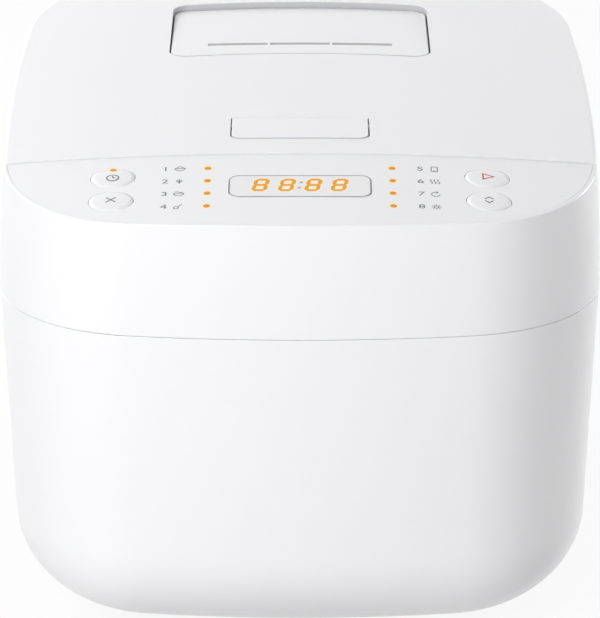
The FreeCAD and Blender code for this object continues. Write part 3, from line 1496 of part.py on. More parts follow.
def vent_group():
    flat_top = lid_top(float(s.vent_front_y))
    split = s.vent_floor + s.vent_split
    wall = s.vent_wall
    blank = common("vent_blank", bowed_form("vent_cap_form", 0, split, SKY),
                   crown("vent_cap_top", 0, flat_top, 0, 0))

    def edge_radius(spot):
        on_top = abs(spot.z - flat_top + crown_sag(spot.x)) < SURFACE_TOLERANCE
        return s.vent_round if on_top else 0
    hollow = common("vent_cap_inside", bowed_form("vent_cap_hollow", -wall, split, SKY),
                    crown("vent_cap_under", 0, flat_top, 0, wall))
    slots = [box("vent_slot%d" % (index + 1), span(s.vent_slot_pitch * index, s.vent_slot_length),
                 span(s.vent_slot_y, s.vent_slot_width), (split, SKY)) for index in (-1, 0, 1)]
    piece("vent_cover", cut("vent_cap", rounded("vent_rounded", blank, edge_radius), hollow, *slots))
    floor_low = s.vent_floor + s.fit_gap
    nozzle = (0, s.steam_y, tub_low - s.nozzle_reach)
    tray = fuse("tray_body", bowed_form("tray_form", 0, floor_low, split - s.running_gap),
                cylinder("tray_nozzle", s.nozzle_radius, nozzle,
                         floor_low - tub_low + s.nozzle_reach))
    piece("vent_tray", cut(
        "tray", tray, bowed_form("tray_hollow", -wall, floor_low + wall, SKY),
        cylinder("nozzle_bore", s.nozzle_radius - s.nozzle_wall, nozzle, s.vent_floor)))
    seal_low = tub_low - s.nozzle_reach + s.vent_seal_rise
    piece("vent_seal", ring("vent_ring", s.nozzle_radius + s.running_gap, s.steam_radius - s.fit_gap,
                            0, s.steam_y, (seal_low, seal_low + s.vent_seal_height)))


for make in (outer_shell, base_group, cavity_group, sensor_group, inner_pot, power_group, inlet_group,
             upper_collar, latch_catch, control_panel, panel_fittings, display_board, keys,
             lid_cover, lid_liner, inner_lid, steam_way, hinge_group, release_button, latch_hook,
             release_fittings, vent_group):
    make()
doc.recompute()

# Check every object, then write the pieces

failed = [obj.Name for obj in doc.Objects if "Invalid" in obj.State or "Error" in obj.State]
if failed:
    raise RuntimeError("objects that failed: " + ", ".join(failed))
for obj in PARTS:
    if obj.Shape.isNull() or not obj.Shape.isValid() or not obj.Shape.Solids:
        raise RuntimeError("no valid solid in " + obj.Label)
os.makedirs("parts", exist_ok=True)
for obj in PARTS:
    print("%-22s solids %d  volume %.0f" % (obj.Label, len(obj.Shape.Solids), obj.Shape.Volume))
    obj.Shape.exportStep(os.path.join("parts", obj.Label + ".step"))
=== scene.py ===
"""Rice cooker: finishes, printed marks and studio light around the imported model."""
import json
import math

import bmesh
import bpy
import numpy as np
from mathutils import Matrix, Vector

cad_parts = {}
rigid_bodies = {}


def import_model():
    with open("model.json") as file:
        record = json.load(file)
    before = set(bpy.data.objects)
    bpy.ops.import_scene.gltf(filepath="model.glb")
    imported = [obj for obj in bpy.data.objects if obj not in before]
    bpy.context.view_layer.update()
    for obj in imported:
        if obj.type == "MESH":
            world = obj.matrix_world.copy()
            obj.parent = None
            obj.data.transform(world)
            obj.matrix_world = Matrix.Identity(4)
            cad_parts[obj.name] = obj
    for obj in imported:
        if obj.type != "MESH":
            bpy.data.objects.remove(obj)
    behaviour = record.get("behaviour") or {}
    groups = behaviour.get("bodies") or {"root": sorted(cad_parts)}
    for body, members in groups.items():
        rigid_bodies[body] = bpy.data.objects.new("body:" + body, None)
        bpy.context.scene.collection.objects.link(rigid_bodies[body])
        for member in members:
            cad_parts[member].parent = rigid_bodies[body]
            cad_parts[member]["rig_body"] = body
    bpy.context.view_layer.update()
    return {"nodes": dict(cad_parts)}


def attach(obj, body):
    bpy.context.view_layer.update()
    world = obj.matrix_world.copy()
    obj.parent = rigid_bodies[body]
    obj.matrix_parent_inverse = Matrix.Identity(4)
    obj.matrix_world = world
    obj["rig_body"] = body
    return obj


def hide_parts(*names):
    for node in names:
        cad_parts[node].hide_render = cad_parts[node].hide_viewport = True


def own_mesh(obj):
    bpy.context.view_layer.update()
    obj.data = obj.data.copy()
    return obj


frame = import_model()
NODES = frame["nodes"]
MM = 0.001

# Sizes of the solids, in millimetres

HALF_WIDTH = 131.0
HALF_DEPTH = 165.0
FRONT_RADIUS = 502.0
FRONT_CORNER_RADIUS = 66.3
SIDE_RADIUS = 1631.0
REAR_CORNER_RADIUS = 75.7
REAR_RADIUS = 336.0
SEAM_HEIGHT = 151.0
TUMBLE_RADIUS = 592.0
SHELL_LEAN = math.tan(math.radians(2.43))
BOTTOM_SHOULDER = 49.0
BOTTOM_WIDTH = 52.0
BOTTOM_HEIGHT = 44.0
CROWN_RADIUS = 1640.0
PANEL_SLOPE = math.radians(9.15)
PANEL_EDGE_HEIGHT = 199.72
LID_SLOPE = math.radians(2.27)
LID_SEAM_Y = -98.8
LID_RISE = 0.4
LID_EDGE_HEIGHT = (PANEL_EDGE_HEIGHT + math.tan(PANEL_SLOPE) * (LID_SEAM_Y + HALF_DEPTH) + LID_RISE)
HINGE_Y = 132.0
HINGE_ROUND = 14.5
PADDLE_FRONT_Y = -80.6
PADDLE_REAR_Y = -54.6
PADDLE_RISE = 0.5
VENT_FRONT_Y = 31.5
VENT_REAR_Y = 106.5
VENT_HALF_WIDTH = 58.8
VENT_SLOT_Y = 47.1
VENT_SLOT_WIDTH = 3.4
# Painted shade in the gaps and recesses round the vent and the paddle: the share of grey on the vent's slot
# walls, then the depths and margins where the grey starts
SLOT_PAINTED_SHADE = 0.75
EDGE_DEPTH = 0.05
PADDLE_EDGE_DEPTH = 0.15
WELL_DEPTH = 0.25
WELL_SIDE_MARGIN = 1.0
WELL_END_MARGIN = 4.0
POT_Y = 18.0
POT_RADIUS = 102.0
POT_FLOOR = 54.0
KEY_COLUMN_X = 78.4
LIGHT_COLUMN_X = 38.65
LIGHT_ROW_LOW = 20.7
LIGHT_ROW_STEP = 11.27
LIGHT_ROWS = [LIGHT_ROW_LOW + LIGHT_ROW_STEP * step for step in (3, 2, 1, 0)]


def lid_top(y):
    """Height of the lid's top on the middle line."""
    return LID_EDGE_HEIGHT + math.tan(LID_SLOPE) * (y - LID_SEAM_Y)


HINGE_HEIGHT = lid_top(HINGE_Y) - HINGE_ROUND / math.cos(LID_SLOPE)
PADDLE_SLOPE = LID_SLOPE - math.atan2(PADDLE_RISE, PADDLE_REAR_Y - PADDLE_FRONT_Y)


# Shader trees

class Wire:
    """A socket of a node tree; arithmetic on it adds Math nodes."""

    def __init__(self, tree, socket):
        self.tree = tree
        self.socket = socket

    def maths(self, operation, *values):
        return self.tree.node("ShaderNodeMath", {"operation": operation}, dict(enumerate(values)))

    def __add__(self, other):
        return self.maths("ADD", self, other)

    def __radd__(self, other):
        return self.maths("ADD", other, self)

    def __sub__(self, other):
        return self.maths("SUBTRACT", self, other)

    def __rsub__(self, other):
        return self.maths("SUBTRACT", other, self)

    def __mul__(self, other):
        return self.maths("MULTIPLY", self, other)

    def __rmul__(self, other):
        return self.maths("MULTIPLY", other, self)


class Tree:
    """A node tree and the one way that nodes are added to it."""

    def __init__(self, tree):
        self.tree = tree

    def node(self, kind, settings=None, inputs=None, output=0):
        """Add a node: its settings first, then the values or wires of its sockets."""
        node = self.tree.nodes.new(kind)
        for key, value in (settings or {}).items():
            setattr(node, key, value)
        for key, value in (inputs or {}).items():
            self.feed(node.inputs[key], value)
        return Wire(self, node.outputs[output])

    def feed(self, socket, value):
        if isinstance(value, Wire):
            self.tree.links.new(value.socket, socket)
        else:
            socket.default_value = value


class Finish(Tree):
    """A material and the nodes that make it."""

    def __init__(self, name, **fixed):
        self.material = bpy.data.materials.new(name)
        self.material.use_nodes = True
        super().__init__(self.material.node_tree)
        self.shader = self.tree.nodes["Principled BSDF"]
        for socket, value in fixed.items():
            self.set(SOCKET_NAMES.get(socket, socket.replace("_", " ").title()), value)

    def set(self, socket, value):
        self.feed(self.shader.inputs[socket], value)

    def place(self):
        return self.node("ShaderNodeTexCoord", output="Object")

    def axes(self):
        """The object coordinates as three wires."""
        place = self.place()
        return [self.node("ShaderNodeSeparateXYZ", None, {0: place}, axis) for axis in ("X", "Y", "Z")]

    def speckle(self, scale, detail=2.0, rough=0.5, place=None):
        """Noise from 0 to 1; scale is in features a metre."""
        return self.node("ShaderNodeTexNoise", None,
                         {"Vector": place or self.place(), "Scale": scale, "Detail": detail,
                          "Roughness": rough}, "Fac")

    def grain(self, height, depth):
        """Raise the surface by a height wire, depth metres deep."""
        bump = self.node("ShaderNodeBump", None, {"Strength": 1.0, "Distance": depth, "Height": height})
        self.set("Normal", bump)

    def blend(self, share, first, second):
        """Mix two colours."""
        return self.node("ShaderNodeMix", {"data_type": "RGBA"},
                         {"Factor": share, 6: first, 7: second}, 2)


SOCKET_NAMES = {"specular_ior_level": "Specular IOR Level"}


def solid(red, green, blue):
    return (red, green, blue, 1.0)


def grey(level, tint=0.0):
    """A grey that leans a little to blue."""
    return solid(level, level, level + tint)


def shade(tone, share):
    """A darker or lighter form of a tone."""
    return solid(*(channel * share for channel in tone[:3]))


CLOUD_SCALE = 14.0
CLOUD_SHADE = 0.985
GLOSS_SWING = 0.04
FINE_TEXTURE = 2600.0
FINE_DEPTH = 0.000012


def moulded_plastic(name, tone, roughness, texture_scale, texture_depth, coat=0.0, inner=None):
    """Moulded plastic: an even tone with faint flow clouds, a fine tool texture and a live gloss.

    inner is a pair: a function that gives the share of a second tone, and that tone; here it paints shade
    in gaps and recesses and the glow round lights.
    """
    finish = Finish(name, coat_roughness=0.12, coat_weight=coat, specular_ior_level=0.5)
    clouds = finish.speckle(CLOUD_SCALE, 3.0)
    colour = finish.blend(clouds, shade(tone, CLOUD_SHADE), tone)
    if inner:
        share, painted_tone = inner
        colour = finish.blend(share(finish), colour, painted_tone)
    finish.set("Base Color", colour)
    texture = finish.speckle(texture_scale, 2.0, 0.6)
    finish.set("Roughness", roughness - GLOSS_SWING + clouds * GLOSS_SWING + texture * GLOSS_SWING)
    finish.grain(texture, texture_depth)
    return finish.material


def depth_under(finish, front_y, front_z, slope):
    """Depth below a crowned top, in metres, with the x and y coordinates."""
    x, y, z = finish.axes()
    top = front_z * MM + (y - front_y * MM) * math.tan(slope) - x * x * (0.5 / (CROWN_RADIUS * MM))
    return top - z, x, y


def vent_gap_painted_shade(finish):
    """Painted shade: the share of a grey painted on the vent's skirt under its rounded edge and, in a
    lighter tone, on the walls of its slots.
    """
    depth, _, y = depth_under(finish, 0.0, lid_top(VENT_FRONT_Y), 0.0)
    across = y - VENT_SLOT_Y * MM
    off_slot = across.maths("ABSOLUTE", across)
    off_slot = off_slot.maths("GREATER_THAN", off_slot, (VENT_SLOT_WIDTH / 2 + EDGE_DEPTH) * MM)
    below = depth.maths("GREATER_THAN", depth, EDGE_DEPTH * MM)
    return below * (off_slot * (1 - SLOT_PAINTED_SHADE) + SLOT_PAINTED_SHADE)


def lid_well_painted_shade(finish):
    """Painted shade: the share of a grey painted on the walls of the well in the lid that takes the vent.
    """
    depth, x, y = depth_under(finish, LID_SEAM_Y, LID_EDGE_HEIGHT, LID_SLOPE)
    middle = (VENT_FRONT_Y + VENT_REAR_Y) / 2
    along = y - middle * MM
    near_x = x.maths("ABSOLUTE", x)
    near_y = along.maths("ABSOLUTE", along)
    inside = (near_x.maths("LESS_THAN", near_x, (VENT_HALF_WIDTH + WELL_SIDE_MARGIN) * MM)
              * near_y.maths("LESS_THAN", near_y, (VENT_REAR_Y - middle + WELL_END_MARGIN) * MM))
    return depth.maths("GREATER_THAN", depth, WELL_DEPTH * MM) * inside


def paddle_gap_painted_shade(finish):
    """Painted shade: the share of a grey painted on the paddle's sides under its rounded edge."""
    depth, _, _ = depth_under(finish, PADDLE_REAR_Y, lid_top(PADDLE_REAR_Y), PADDLE_SLOPE)
    return depth.maths("GREATER_THAN", depth, PADDLE_EDGE_DEPTH * MM)


# Reach in millimetres of the painted glow round each light, from full to none
HALO_START = 1.2
HALO_END = 3.5


def painted_halo(finish, across, along):
    """Painted glow: the share of a warm tone painted into the white plastic round a light, from the
    distance in millimetres to its middle.
    """
    square = across * across + along * along
    return finish.node("ShaderNodeMapRange", {"interpolation_type": "SMOOTHSTEP"},
                       {"Value": square.maths("SQRT", square), "From Min": HALO_START,
                        "From Max": HALO_END, "To Min": 1.0, "To Max": 0.0})


def panel_row(y):
    """How far up the panel a point lies, in millimetres."""
    return (y * (1 / MM) + HALF_DEPTH) * (1 / math.cos(PANEL_SLOPE))


def painted_program_halos(finish):
    """Painted glow round each of the program lights."""
    x, y, _ = finish.axes()
    across = x.maths("ABSOLUTE", x) * (1 / MM) - LIGHT_COLUMN_X
    rise = panel_row(y) - LIGHT_ROW_LOW
    step = rise * (1 / LIGHT_ROW_STEP)
    for operation, value in (("ROUND", 0.0), ("MAXIMUM", 0.0), ("MINIMUM", len(LIGHT_ROWS) - 1.0)):
        step = step.maths(operation, step, value)
    return painted_halo(finish, across, rise - step * LIGHT_ROW_STEP)


def painted_timer_halo(finish):
    """Painted glow round the light on the timer key."""
    x, y, _ = finish.axes()
    return painted_halo(finish, x * (1 / MM) + KEY_COLUMN_X, panel_row(y) - LIGHT_ROWS[0])


def plain_metal(name, tone, roughness, scale):
    """Metal with a fine drawn or cast surface."""
    finish = Finish(name, metallic=1.0)
    spots = finish.speckle(scale, 4.0, 0.6)
    finish.set("Base Color", finish.blend(spots, shade(tone, 0.82), tone))
    finish.set("Roughness", roughness - 0.08 + spots * 0.16)
    finish.grain(spots, 0.00002)
    return finish.material


def spun_metal(name, tone, roughness, centre_y):
    """Metal brushed in rings about a vertical axis."""
    finish = Finish(name, metallic=1.0)
    x, y, z = finish.axes()
    across = y - centre_y * MM
    square = x * x + across * across
    radius = square.maths("SQRT", square)
    rings = finish.node("ShaderNodeCombineXYZ", None, {"X": radius, "Y": z, "Z": 0.0})
    brushing = finish.speckle(2600.0, 3.0, 0.7, rings)
    finish.set("Base Color", finish.blend(brushing, shade(tone, 0.80), tone))
    finish.set("Roughness", roughness - 0.06 + brushing * 0.14)
    finish.grain(brushing, 0.000012)
    return finish.material


def rubber(name, tone, roughness):
    """Rubber with a dusty bloom."""
    finish = Finish(name, specular_ior_level=0.35)
    dust = finish.speckle(160.0, 4.0, 0.65)
    pale = tuple(min(1.0, channel * 1.25 + 0.01) for channel in tone[:3]) + (1.0,)
    finish.set("Base Color", finish.blend(dust, tone, pale))
    finish.set("Roughness", roughness + dust * 0.12)
    finish.grain(finish.speckle(2400.0), 0.00003)
    return finish.material


def ink(name, tone):
    """Printed ink, a little uneven."""
    finish = Finish(name, specular_ior_level=0.3)
    patches = finish.speckle(1800.0, 2.0)
    finish.set("Base Color", finish.blend(patches, tone, shade(tone, 1.18)))
    finish.set("Roughness", 0.5 + patches * 0.15)
    return finish.material


def lamp_plastic(name, tone, glow, strength):
    """A lit light guide: tinted plastic that glows a little unevenly."""
    finish = Finish(name, roughness=0.35, emission_strength=strength, specular_ior_level=0.2)
    patches = finish.speckle(700.0, 2.0)
    finish.set("Base Color", finish.blend(patches, shade(tone, 0.88), tone))
    finish.set("Emission Color", finish.blend(patches, shade(glow, 0.86), glow))
    return finish.material


WHITE = grey(0.86, 0.014)
LID_GLOSS = 0.46
SHELL_WHITE = moulded_plastic("shell_white", WHITE, 0.34, 900.0, 0.000006, 0.15)
BAND_WHITE = moulded_plastic("band_white", WHITE, 0.30, 900.0, 0.000005, 0.2)
# The walls of the lid's well round the vent carry painted shade in a grey tone
LID_WHITE = moulded_plastic("lid_white", WHITE, LID_GLOSS, FINE_TEXTURE, FINE_DEPTH,
                            inner=(lid_well_painted_shade, grey(0.56, 0.01)))
# The vent's skirt and slot walls carry painted shade in a grey tone
VENT_WHITE = moulded_plastic("vent_white", WHITE, LID_GLOSS, FINE_TEXTURE, FINE_DEPTH,
                             inner=(vent_gap_painted_shade, grey(0.5)))
# The paddle's sides carry painted shade in a grey tone
PADDLE_WHITE = moulded_plastic("paddle_white", WHITE, LID_GLOSS, FINE_TEXTURE, FINE_DEPTH,
                               inner=(paddle_gap_painted_shade, grey(0.62)))
# The panel and the keys paint the glow of their lights as a warm tone in the base colour
PAINTED_GLOW_TONE = solid(0.98, 0.82, 0.56)
PANEL_WHITE = moulded_plastic("panel_white", WHITE, 0.44, FINE_TEXTURE, 0.00001,
                              inner=(painted_program_halos, PAINTED_GLOW_TONE))
KEY_WHITE = moulded_plastic("key_white", grey(0.85, 0.013), 0.40, 3200.0, 0.000008,
                            inner=(painted_timer_halo, PAINTED_GLOW_TONE))
WINDOW_WHITE = moulded_plastic("window_white", grey(0.84, 0.012), 0.16, 600.0, 0.000002, 0.4)
LINER_WHITE = moulded_plastic("liner_white", grey(0.62, 0.004), 0.42, 1500.0, 0.00001)
GREY_PLASTIC = moulded_plastic("grey_plastic", grey(0.30, 0.003), 0.5, 1500.0, 0.00002)
BLACK_PLASTIC = moulded_plastic("black_plastic", grey(0.022), 0.45, 1800.0, 0.00002)
BOARD_GREEN = moulded_plastic("board_green", solid(0.012, 0.09, 0.04), 0.4, 1200.0, 0.00001, 0.3)
MODULE_BLACK = moulded_plastic("module_black", grey(0.03), 0.3, 900.0, 0.000005, 0.3)
SLEEVE_WHITE = moulded_plastic("sleeve_white", solid(0.62, 0.58, 0.5), 0.6, 1500.0, 0.00002)
FOOT_RUBBER = rubber("foot_rubber", grey(0.055), 0.7)
SEAL_SILICONE = rubber("seal_silicone", solid(0.52, 0.52, 0.50), 0.42)
SCREW_ZINC = plain_metal("screw_zinc", grey(0.55, 0.01), 0.34, 900.0)
SPRING_STEEL = plain_metal("spring_steel", grey(0.42, 0.01), 0.30, 1400.0)
SHEET_METAL = plain_metal("sheet_metal", grey(0.55, 0.006), 0.36, 320.0)
CAST_METAL = plain_metal("cast_metal", grey(0.50), 0.5, 700.0)
FOIL = plain_metal("foil", solid(0.58, 0.55, 0.48), 0.3, 260.0)
BLADE_BRASS = plain_metal("blade_brass", solid(0.66, 0.58, 0.40), 0.28, 900.0)
LID_METAL = spun_metal("lid_metal", grey(0.68, 0.004), 0.34, POT_Y)
LABEL_GREY = ink("label_grey", grey(0.16, 0.004))
LABEL_RED = ink("label_red", solid(0.42, 0.07, 0.08))
LINE_GREY = ink("line_grey", grey(0.26, 0.004))
LEVEL_INK = ink("level_ink", grey(0.42))
COLON_TAN = ink("colon_tan", solid(0.52, 0.37, 0.17))
AMBER = lamp_plastic("amber", solid(0.52, 0.22, 0.006), solid(1.0, 0.46, 0.01), 0.31)
LIGHT_AMBER = lamp_plastic("light_amber", solid(0.43, 0.2, 0.03), solid(1.0, 0.46, 0.01), 0.27)
GLOW = lamp_plastic("glow", solid(0.95, 0.84, 0.67), solid(1.0, 0.85, 0.55), 0.1)


COAT_SIDE_MARGIN = 0.6
COAT_FLOOR_MARGIN = 0.5
FLECK_SCALE = 420.0
FLECK_REACH = 0.16


def pot_coating():
    """Dark speckled non-stick inside and bare spun metal outside and on the rim."""
    finish = Finish("pot_coating")
    x, y, z = finish.axes()
    across = y - POT_Y * MM
    square = x * x + across * across
    inside = square.maths("LESS_THAN", square, ((POT_RADIUS + COAT_SIDE_MARGIN) * MM) ** 2)
    lifted = z.maths("GREATER_THAN", z, (POT_FLOOR - COAT_FLOOR_MARGIN) * MM)
    coated = inside * lifted
    flecks = finish.node("ShaderNodeTexVoronoi", None,
                         {"Vector": finish.place(), "Scale": FLECK_SCALE}, "Distance")
    fleck = flecks.maths("LESS_THAN", flecks, FLECK_REACH)
    coat = finish.blend(fleck, grey(0.030), grey(0.11))
    finish.set("Base Color", finish.blend(coated, grey(0.60, 0.005), coat))
    finish.set("Metallic", 1 - coated)
    finish.set("Roughness", 0.30 + coated * 0.12 + fleck * 0.08)
    finish.grain(finish.speckle(1500.0), 0.000015)
    return finish.material


POT_COATING = pot_coating()
KEY_NODES = ["key_upper_left", "key_lower_left", "key_upper_right", "key_lower_right"]
NODE_FINISH = {
    SHELL_WHITE: ["outer_shell"],
    BAND_WHITE: ["upper_collar"],
    LID_WHITE: ["lid_cover"],
    VENT_WHITE: ["vent_cover"],
    PADDLE_WHITE: ["release_button"],
    PANEL_WHITE: ["control_panel"],
    KEY_WHITE: KEY_NODES,
    WINDOW_WHITE: ["display_window"],
    LINER_WHITE: ["lid_liner", "latch_hook", "latch_catch", "vent_tray", "steam_tube"],
    GREY_PLASTIC: ["base_plate", "board_standoffs", "hinge_bushes"],
    BLACK_PLASTIC: ["inlet_socket", "transformer", "relay", "capacitors", "key_switches"],
    BOARD_GREEN: ["power_board", "display_board"],
    MODULE_BLACK: ["digit_display"],
    SLEEVE_WHITE: ["thermal_fuse"],
    FOOT_RUBBER: ["rubber_feet"],
    SEAL_SILICONE: ["inner_lid_gasket", "inner_lid_clip", "steam_seal", "vent_seal"],
    SCREW_ZINC: ["base_screws", "heater_element", "heater_posts", "power_board_screws", "inlet_screws",
                 "catch_screws", "board_screws", "lid_screws", "hinge_pin", "release_pivot_pin",
                 "lid_sensor"],
    SPRING_STEEL: ["sensor_spring", "hinge_springs", "release_spring"],
    SHEET_METAL: ["cavity_liner", "sensor_sleeve"],
    CAST_METAL: ["heating_plate", "sensor_plunger"],
    FOIL: ["side_heater_band"],
    BLADE_BRASS: ["inlet_pins"],
    LID_METAL: ["inner_lid_plate"],
    POT_COATING: ["inner_pot"],
    LIGHT_AMBER: ["indicator_lenses", "timer_light"],
}
for material, names in NODE_FINISH.items():
    for name in names:
        slots = NODES[name].data.materials
        slots.clear()
        slots.append(material)


# Smooth copies of the moulded solids

def blend_centre(first, reach_first, second, reach_second):
    """The right-hand point at the two given distances from two centres."""
    between = second - first
    span = np.linalg.norm(between)
    along = (reach_first ** 2 - reach_second ** 2 + span ** 2) / (2 * span)
    across = math.sqrt(reach_first ** 2 - along ** 2)
    unit = between / span
    sideways = np.array([-unit[1], unit[0]])
    return max((first + unit * along + sideways * sign * across for sign in (1, -1)),
               key=lambda point: point[0])


def plan_arcs():
    """Centre, radius, start and end heading of the right half's arcs."""
    front = np.array([0.0, FRONT_RADIUS - HALF_DEPTH])
    side = np.array([HALF_WIDTH - SIDE_RADIUS, 0.0])
    rear = np.array([0.0, HALF_DEPTH - REAR_RADIUS])
    front_corner = blend_centre(front, FRONT_RADIUS - FRONT_CORNER_RADIUS,
                                side, SIDE_RADIUS - FRONT_CORNER_RADIUS)
    rear_corner = blend_centre(rear, REAR_RADIUS - REAR_CORNER_RADIUS,
                               side, SIDE_RADIUS - REAR_CORNER_RADIUS)

    def heading(centre, toward):
        return math.atan2(toward[1] - centre[1], toward[0] - centre[0])

    turns = [-math.pi / 2, heading(front, front_corner), heading(side, front_corner),
             heading(side, rear_corner), heading(rear, rear_corner), math.pi / 2]
    centres = [front, front_corner, side, rear_corner, rear]
    radii = [FRONT_RADIUS, FRONT_CORNER_RADIUS, SIDE_RADIUS, REAR_CORNER_RADIUS, REAR_RADIUS]
    return list(zip(centres, radii, turns, turns[1:]))


ARCS = plan_arcs()
HEADING_SLACK = 0.002
DEEPEST_DROP = 0.9995


def plan_field(points):
    """Inset from the plan outline and the outward direction, for points in millimetres."""
    sign = np.where(points[:, 0] < 0, -1.0, 1.0)
    x, y = np.abs(points[:, 0]), points[:, 1]
    inset = np.full(len(points), np.inf)
    outward = np.zeros((len(points), 2))
    for centre, radius, start, end in ARCS:
        dx, dy = x - centre[0], y - centre[1]
        reach = np.hypot(dx, dy)
        turn = np.arctan2(dy, dx)
        here = (turn > start - HEADING_SLACK) & (turn < end + HEADING_SLACK) & (radius - reach < inset)
        inset[here] = (radius - reach)[here]
        outward[here] = np.stack([dx / reach, dy / reach], axis=1)[here]
    outward[:, 0] *= sign
    return inset, outward


def unit_rows(rows):
    return rows / np.linalg.norm(rows, axis=1)[:, None]


def upper_side(points):
    """Distance and normal of the leaning side above the seam."""
    inset, outward = plan_field(points)
    rise = np.clip(points[:, 2] - SEAM_HEIGHT, 0.0, TUMBLE_RADIUS / 2)
    run = np.sqrt(TUMBLE_RADIUS ** 2 - rise ** 2)
    normal = unit_rows(np.column_stack([outward, rise / run]))
    return inset - (TUMBLE_RADIUS - run), normal


def lower_side(points):
    """Distance and normal of the shell with its round bottom."""
    inset, outward = plan_field(points)
    drop = np.clip((BOTTOM_SHOULDER - points[:, 2]) / BOTTOM_HEIGHT, 0.0, DEEPEST_DROP)
    turn = np.arcsin(drop)
    surface = (SEAM_HEIGHT - points[:, 2]) * SHELL_LEAN + BOTTOM_WIDTH * (1 - np.cos(turn))
    lean = -SHELL_LEAN - BOTTOM_WIDTH / BOTTOM_HEIGHT * np.tan(turn)
    return inset - surface, unit_rows(np.column_stack([outward, lean]))


def crowned(front_y, front_z, slope):
    """A top that slopes back and falls away to the sides."""
    up = np.array([0.0, -math.sin(slope), math.cos(slope)])
    axis_point = np.array([0.0, front_y, front_z]) - up * CROWN_RADIUS

    def surface(points):
        offset = points - axis_point
        height = offset @ up
        side = points[:, 0]
        reach = np.hypot(side, height)
        normal = np.outer(height / reach, up) + np.outer(side / reach, [1.0, 0.0, 0.0])
        return reach - CROWN_RADIUS, normal
    return surface


def hinge_side(points):
    """The round rear edge of the lid."""
    dy, dz = points[:, 1] - HINGE_Y, points[:, 2] - HINGE_HEIGHT
    reach = np.maximum(np.hypot(dy, dz), 1e-6)
    return reach - HINGE_ROUND, np.column_stack([np.zeros(len(points)), dy / reach, dz / reach])


panel_top = crowned(-HALF_DEPTH, PANEL_EDGE_HEIGHT, PANEL_SLOPE)
lid_crown = crowned(LID_SEAM_Y, LID_EDGE_HEIGHT, LID_SLOPE)
paddle_top = crowned(PADDLE_REAR_Y, lid_top(PADDLE_REAR_Y), PADDLE_SLOPE)
vent_top = crowned(0.0, lid_top(VENT_FRONT_Y), 0.0)
SURFACE_SLACK = 0.03
SURFACE_ANGLE = math.cos(math.radians(42))
SMOOTH_ANGLE = math.cos(math.radians(32))
JOIN_REACH = 0.000002
SLIVER_REACH = 0.0000005


def merged_copy(name):
    """A copy of a CAD node's mesh with its loose triangles joined."""
    mesh = bpy.data.meshes.new(name)
    shape = bmesh.new()
    shape.from_mesh(NODES[name].data)
    bmesh.ops.remove_doubles(shape, verts=shape.verts, dist=JOIN_REACH)
    bmesh.ops.dissolve_degenerate(shape, edges=shape.edges, dist=SLIVER_REACH)
    shape.to_mesh(mesh)
    shape.free()
    return mesh


def smooth_normals(mesh, surfaces):
    """Corner normals: a known surface's own where the corner lies on it, else a soft average."""
    points = np.zeros(len(mesh.vertices) * 3)
    mesh.vertices.foreach_get("co", points)
    points = points.reshape(-1, 3) / MM
    known = [surface(points) for surface in surfaces]
    faces = [tuple(polygon.vertices) for polygon in mesh.polygons]
    facing = np.array([polygon.normal for polygon in mesh.polygons])
    weight = np.array([polygon.area for polygon in mesh.polygons])
    around = [[] for _ in mesh.vertices]
    for index, face in enumerate(faces):
        for vertex in face:
            around[vertex].append(index)
    normals = []
    for index, face in enumerate(faces):
        own = facing[index]
        for vertex in face:
            best, best_turn = None, SURFACE_ANGLE
            for distance, normal in known:
                turn = float(own @ normal[vertex])
                if abs(distance[vertex]) < SURFACE_SLACK and turn > best_turn:
                    best, best_turn = normal[vertex], turn
            if best is None:
                near = around[vertex]
                alike = [other for other in near if facing[other] @ own > SMOOTH_ANGLE]
                best = (facing[alike] * weight[alike, None]).sum(axis=0) if alike else own
                length = np.linalg.norm(best)
                best = best / length if length > 1e-12 else own
            normals.append(best)
    mesh.polygons.foreach_set("use_smooth", np.ones(len(faces), bool))
    mesh.normals_split_custom_set(normals)


def body_of(node):
    return NODES[node]["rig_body"]


def add_piece(name, mesh, body, slot, material=None, replaces=()):
    """Show a mesh as a piece of the object."""
    piece = bpy.data.objects.new(name, mesh)
    bpy.context.scene.collection.objects.link(piece)
    if material:
        mesh.materials.clear()
        mesh.materials.append(material)
    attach(piece, body)
    if replaces:
        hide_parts(*replaces)
    return piece


MOULDED = [
    ("outer_shell", SHELL_WHITE, "shell_plastic", [lower_side]),
    ("upper_collar", BAND_WHITE, "band_plastic", [upper_side, panel_top]),
    ("control_panel", PANEL_WHITE, "panel_plastic", [panel_top]),
    ("lid_cover", LID_WHITE, "lid_plastic", [upper_side, lid_crown, hinge_side]),
    ("vent_cover", VENT_WHITE, "lid_plastic", [vent_top]),
    ("release_button", PADDLE_WHITE, "lid_plastic", [paddle_top]),
] + [(key, KEY_WHITE, "key_plastic", []) for key in KEY_NODES]
for node, material, slot, surfaces in MOULDED:
    mesh = merged_copy(node)
    smooth_normals(mesh, surfaces)
    add_piece(node + "_skin", mesh, body_of(node), slot, material, [node])


# Repeated pieces made by geometry trees

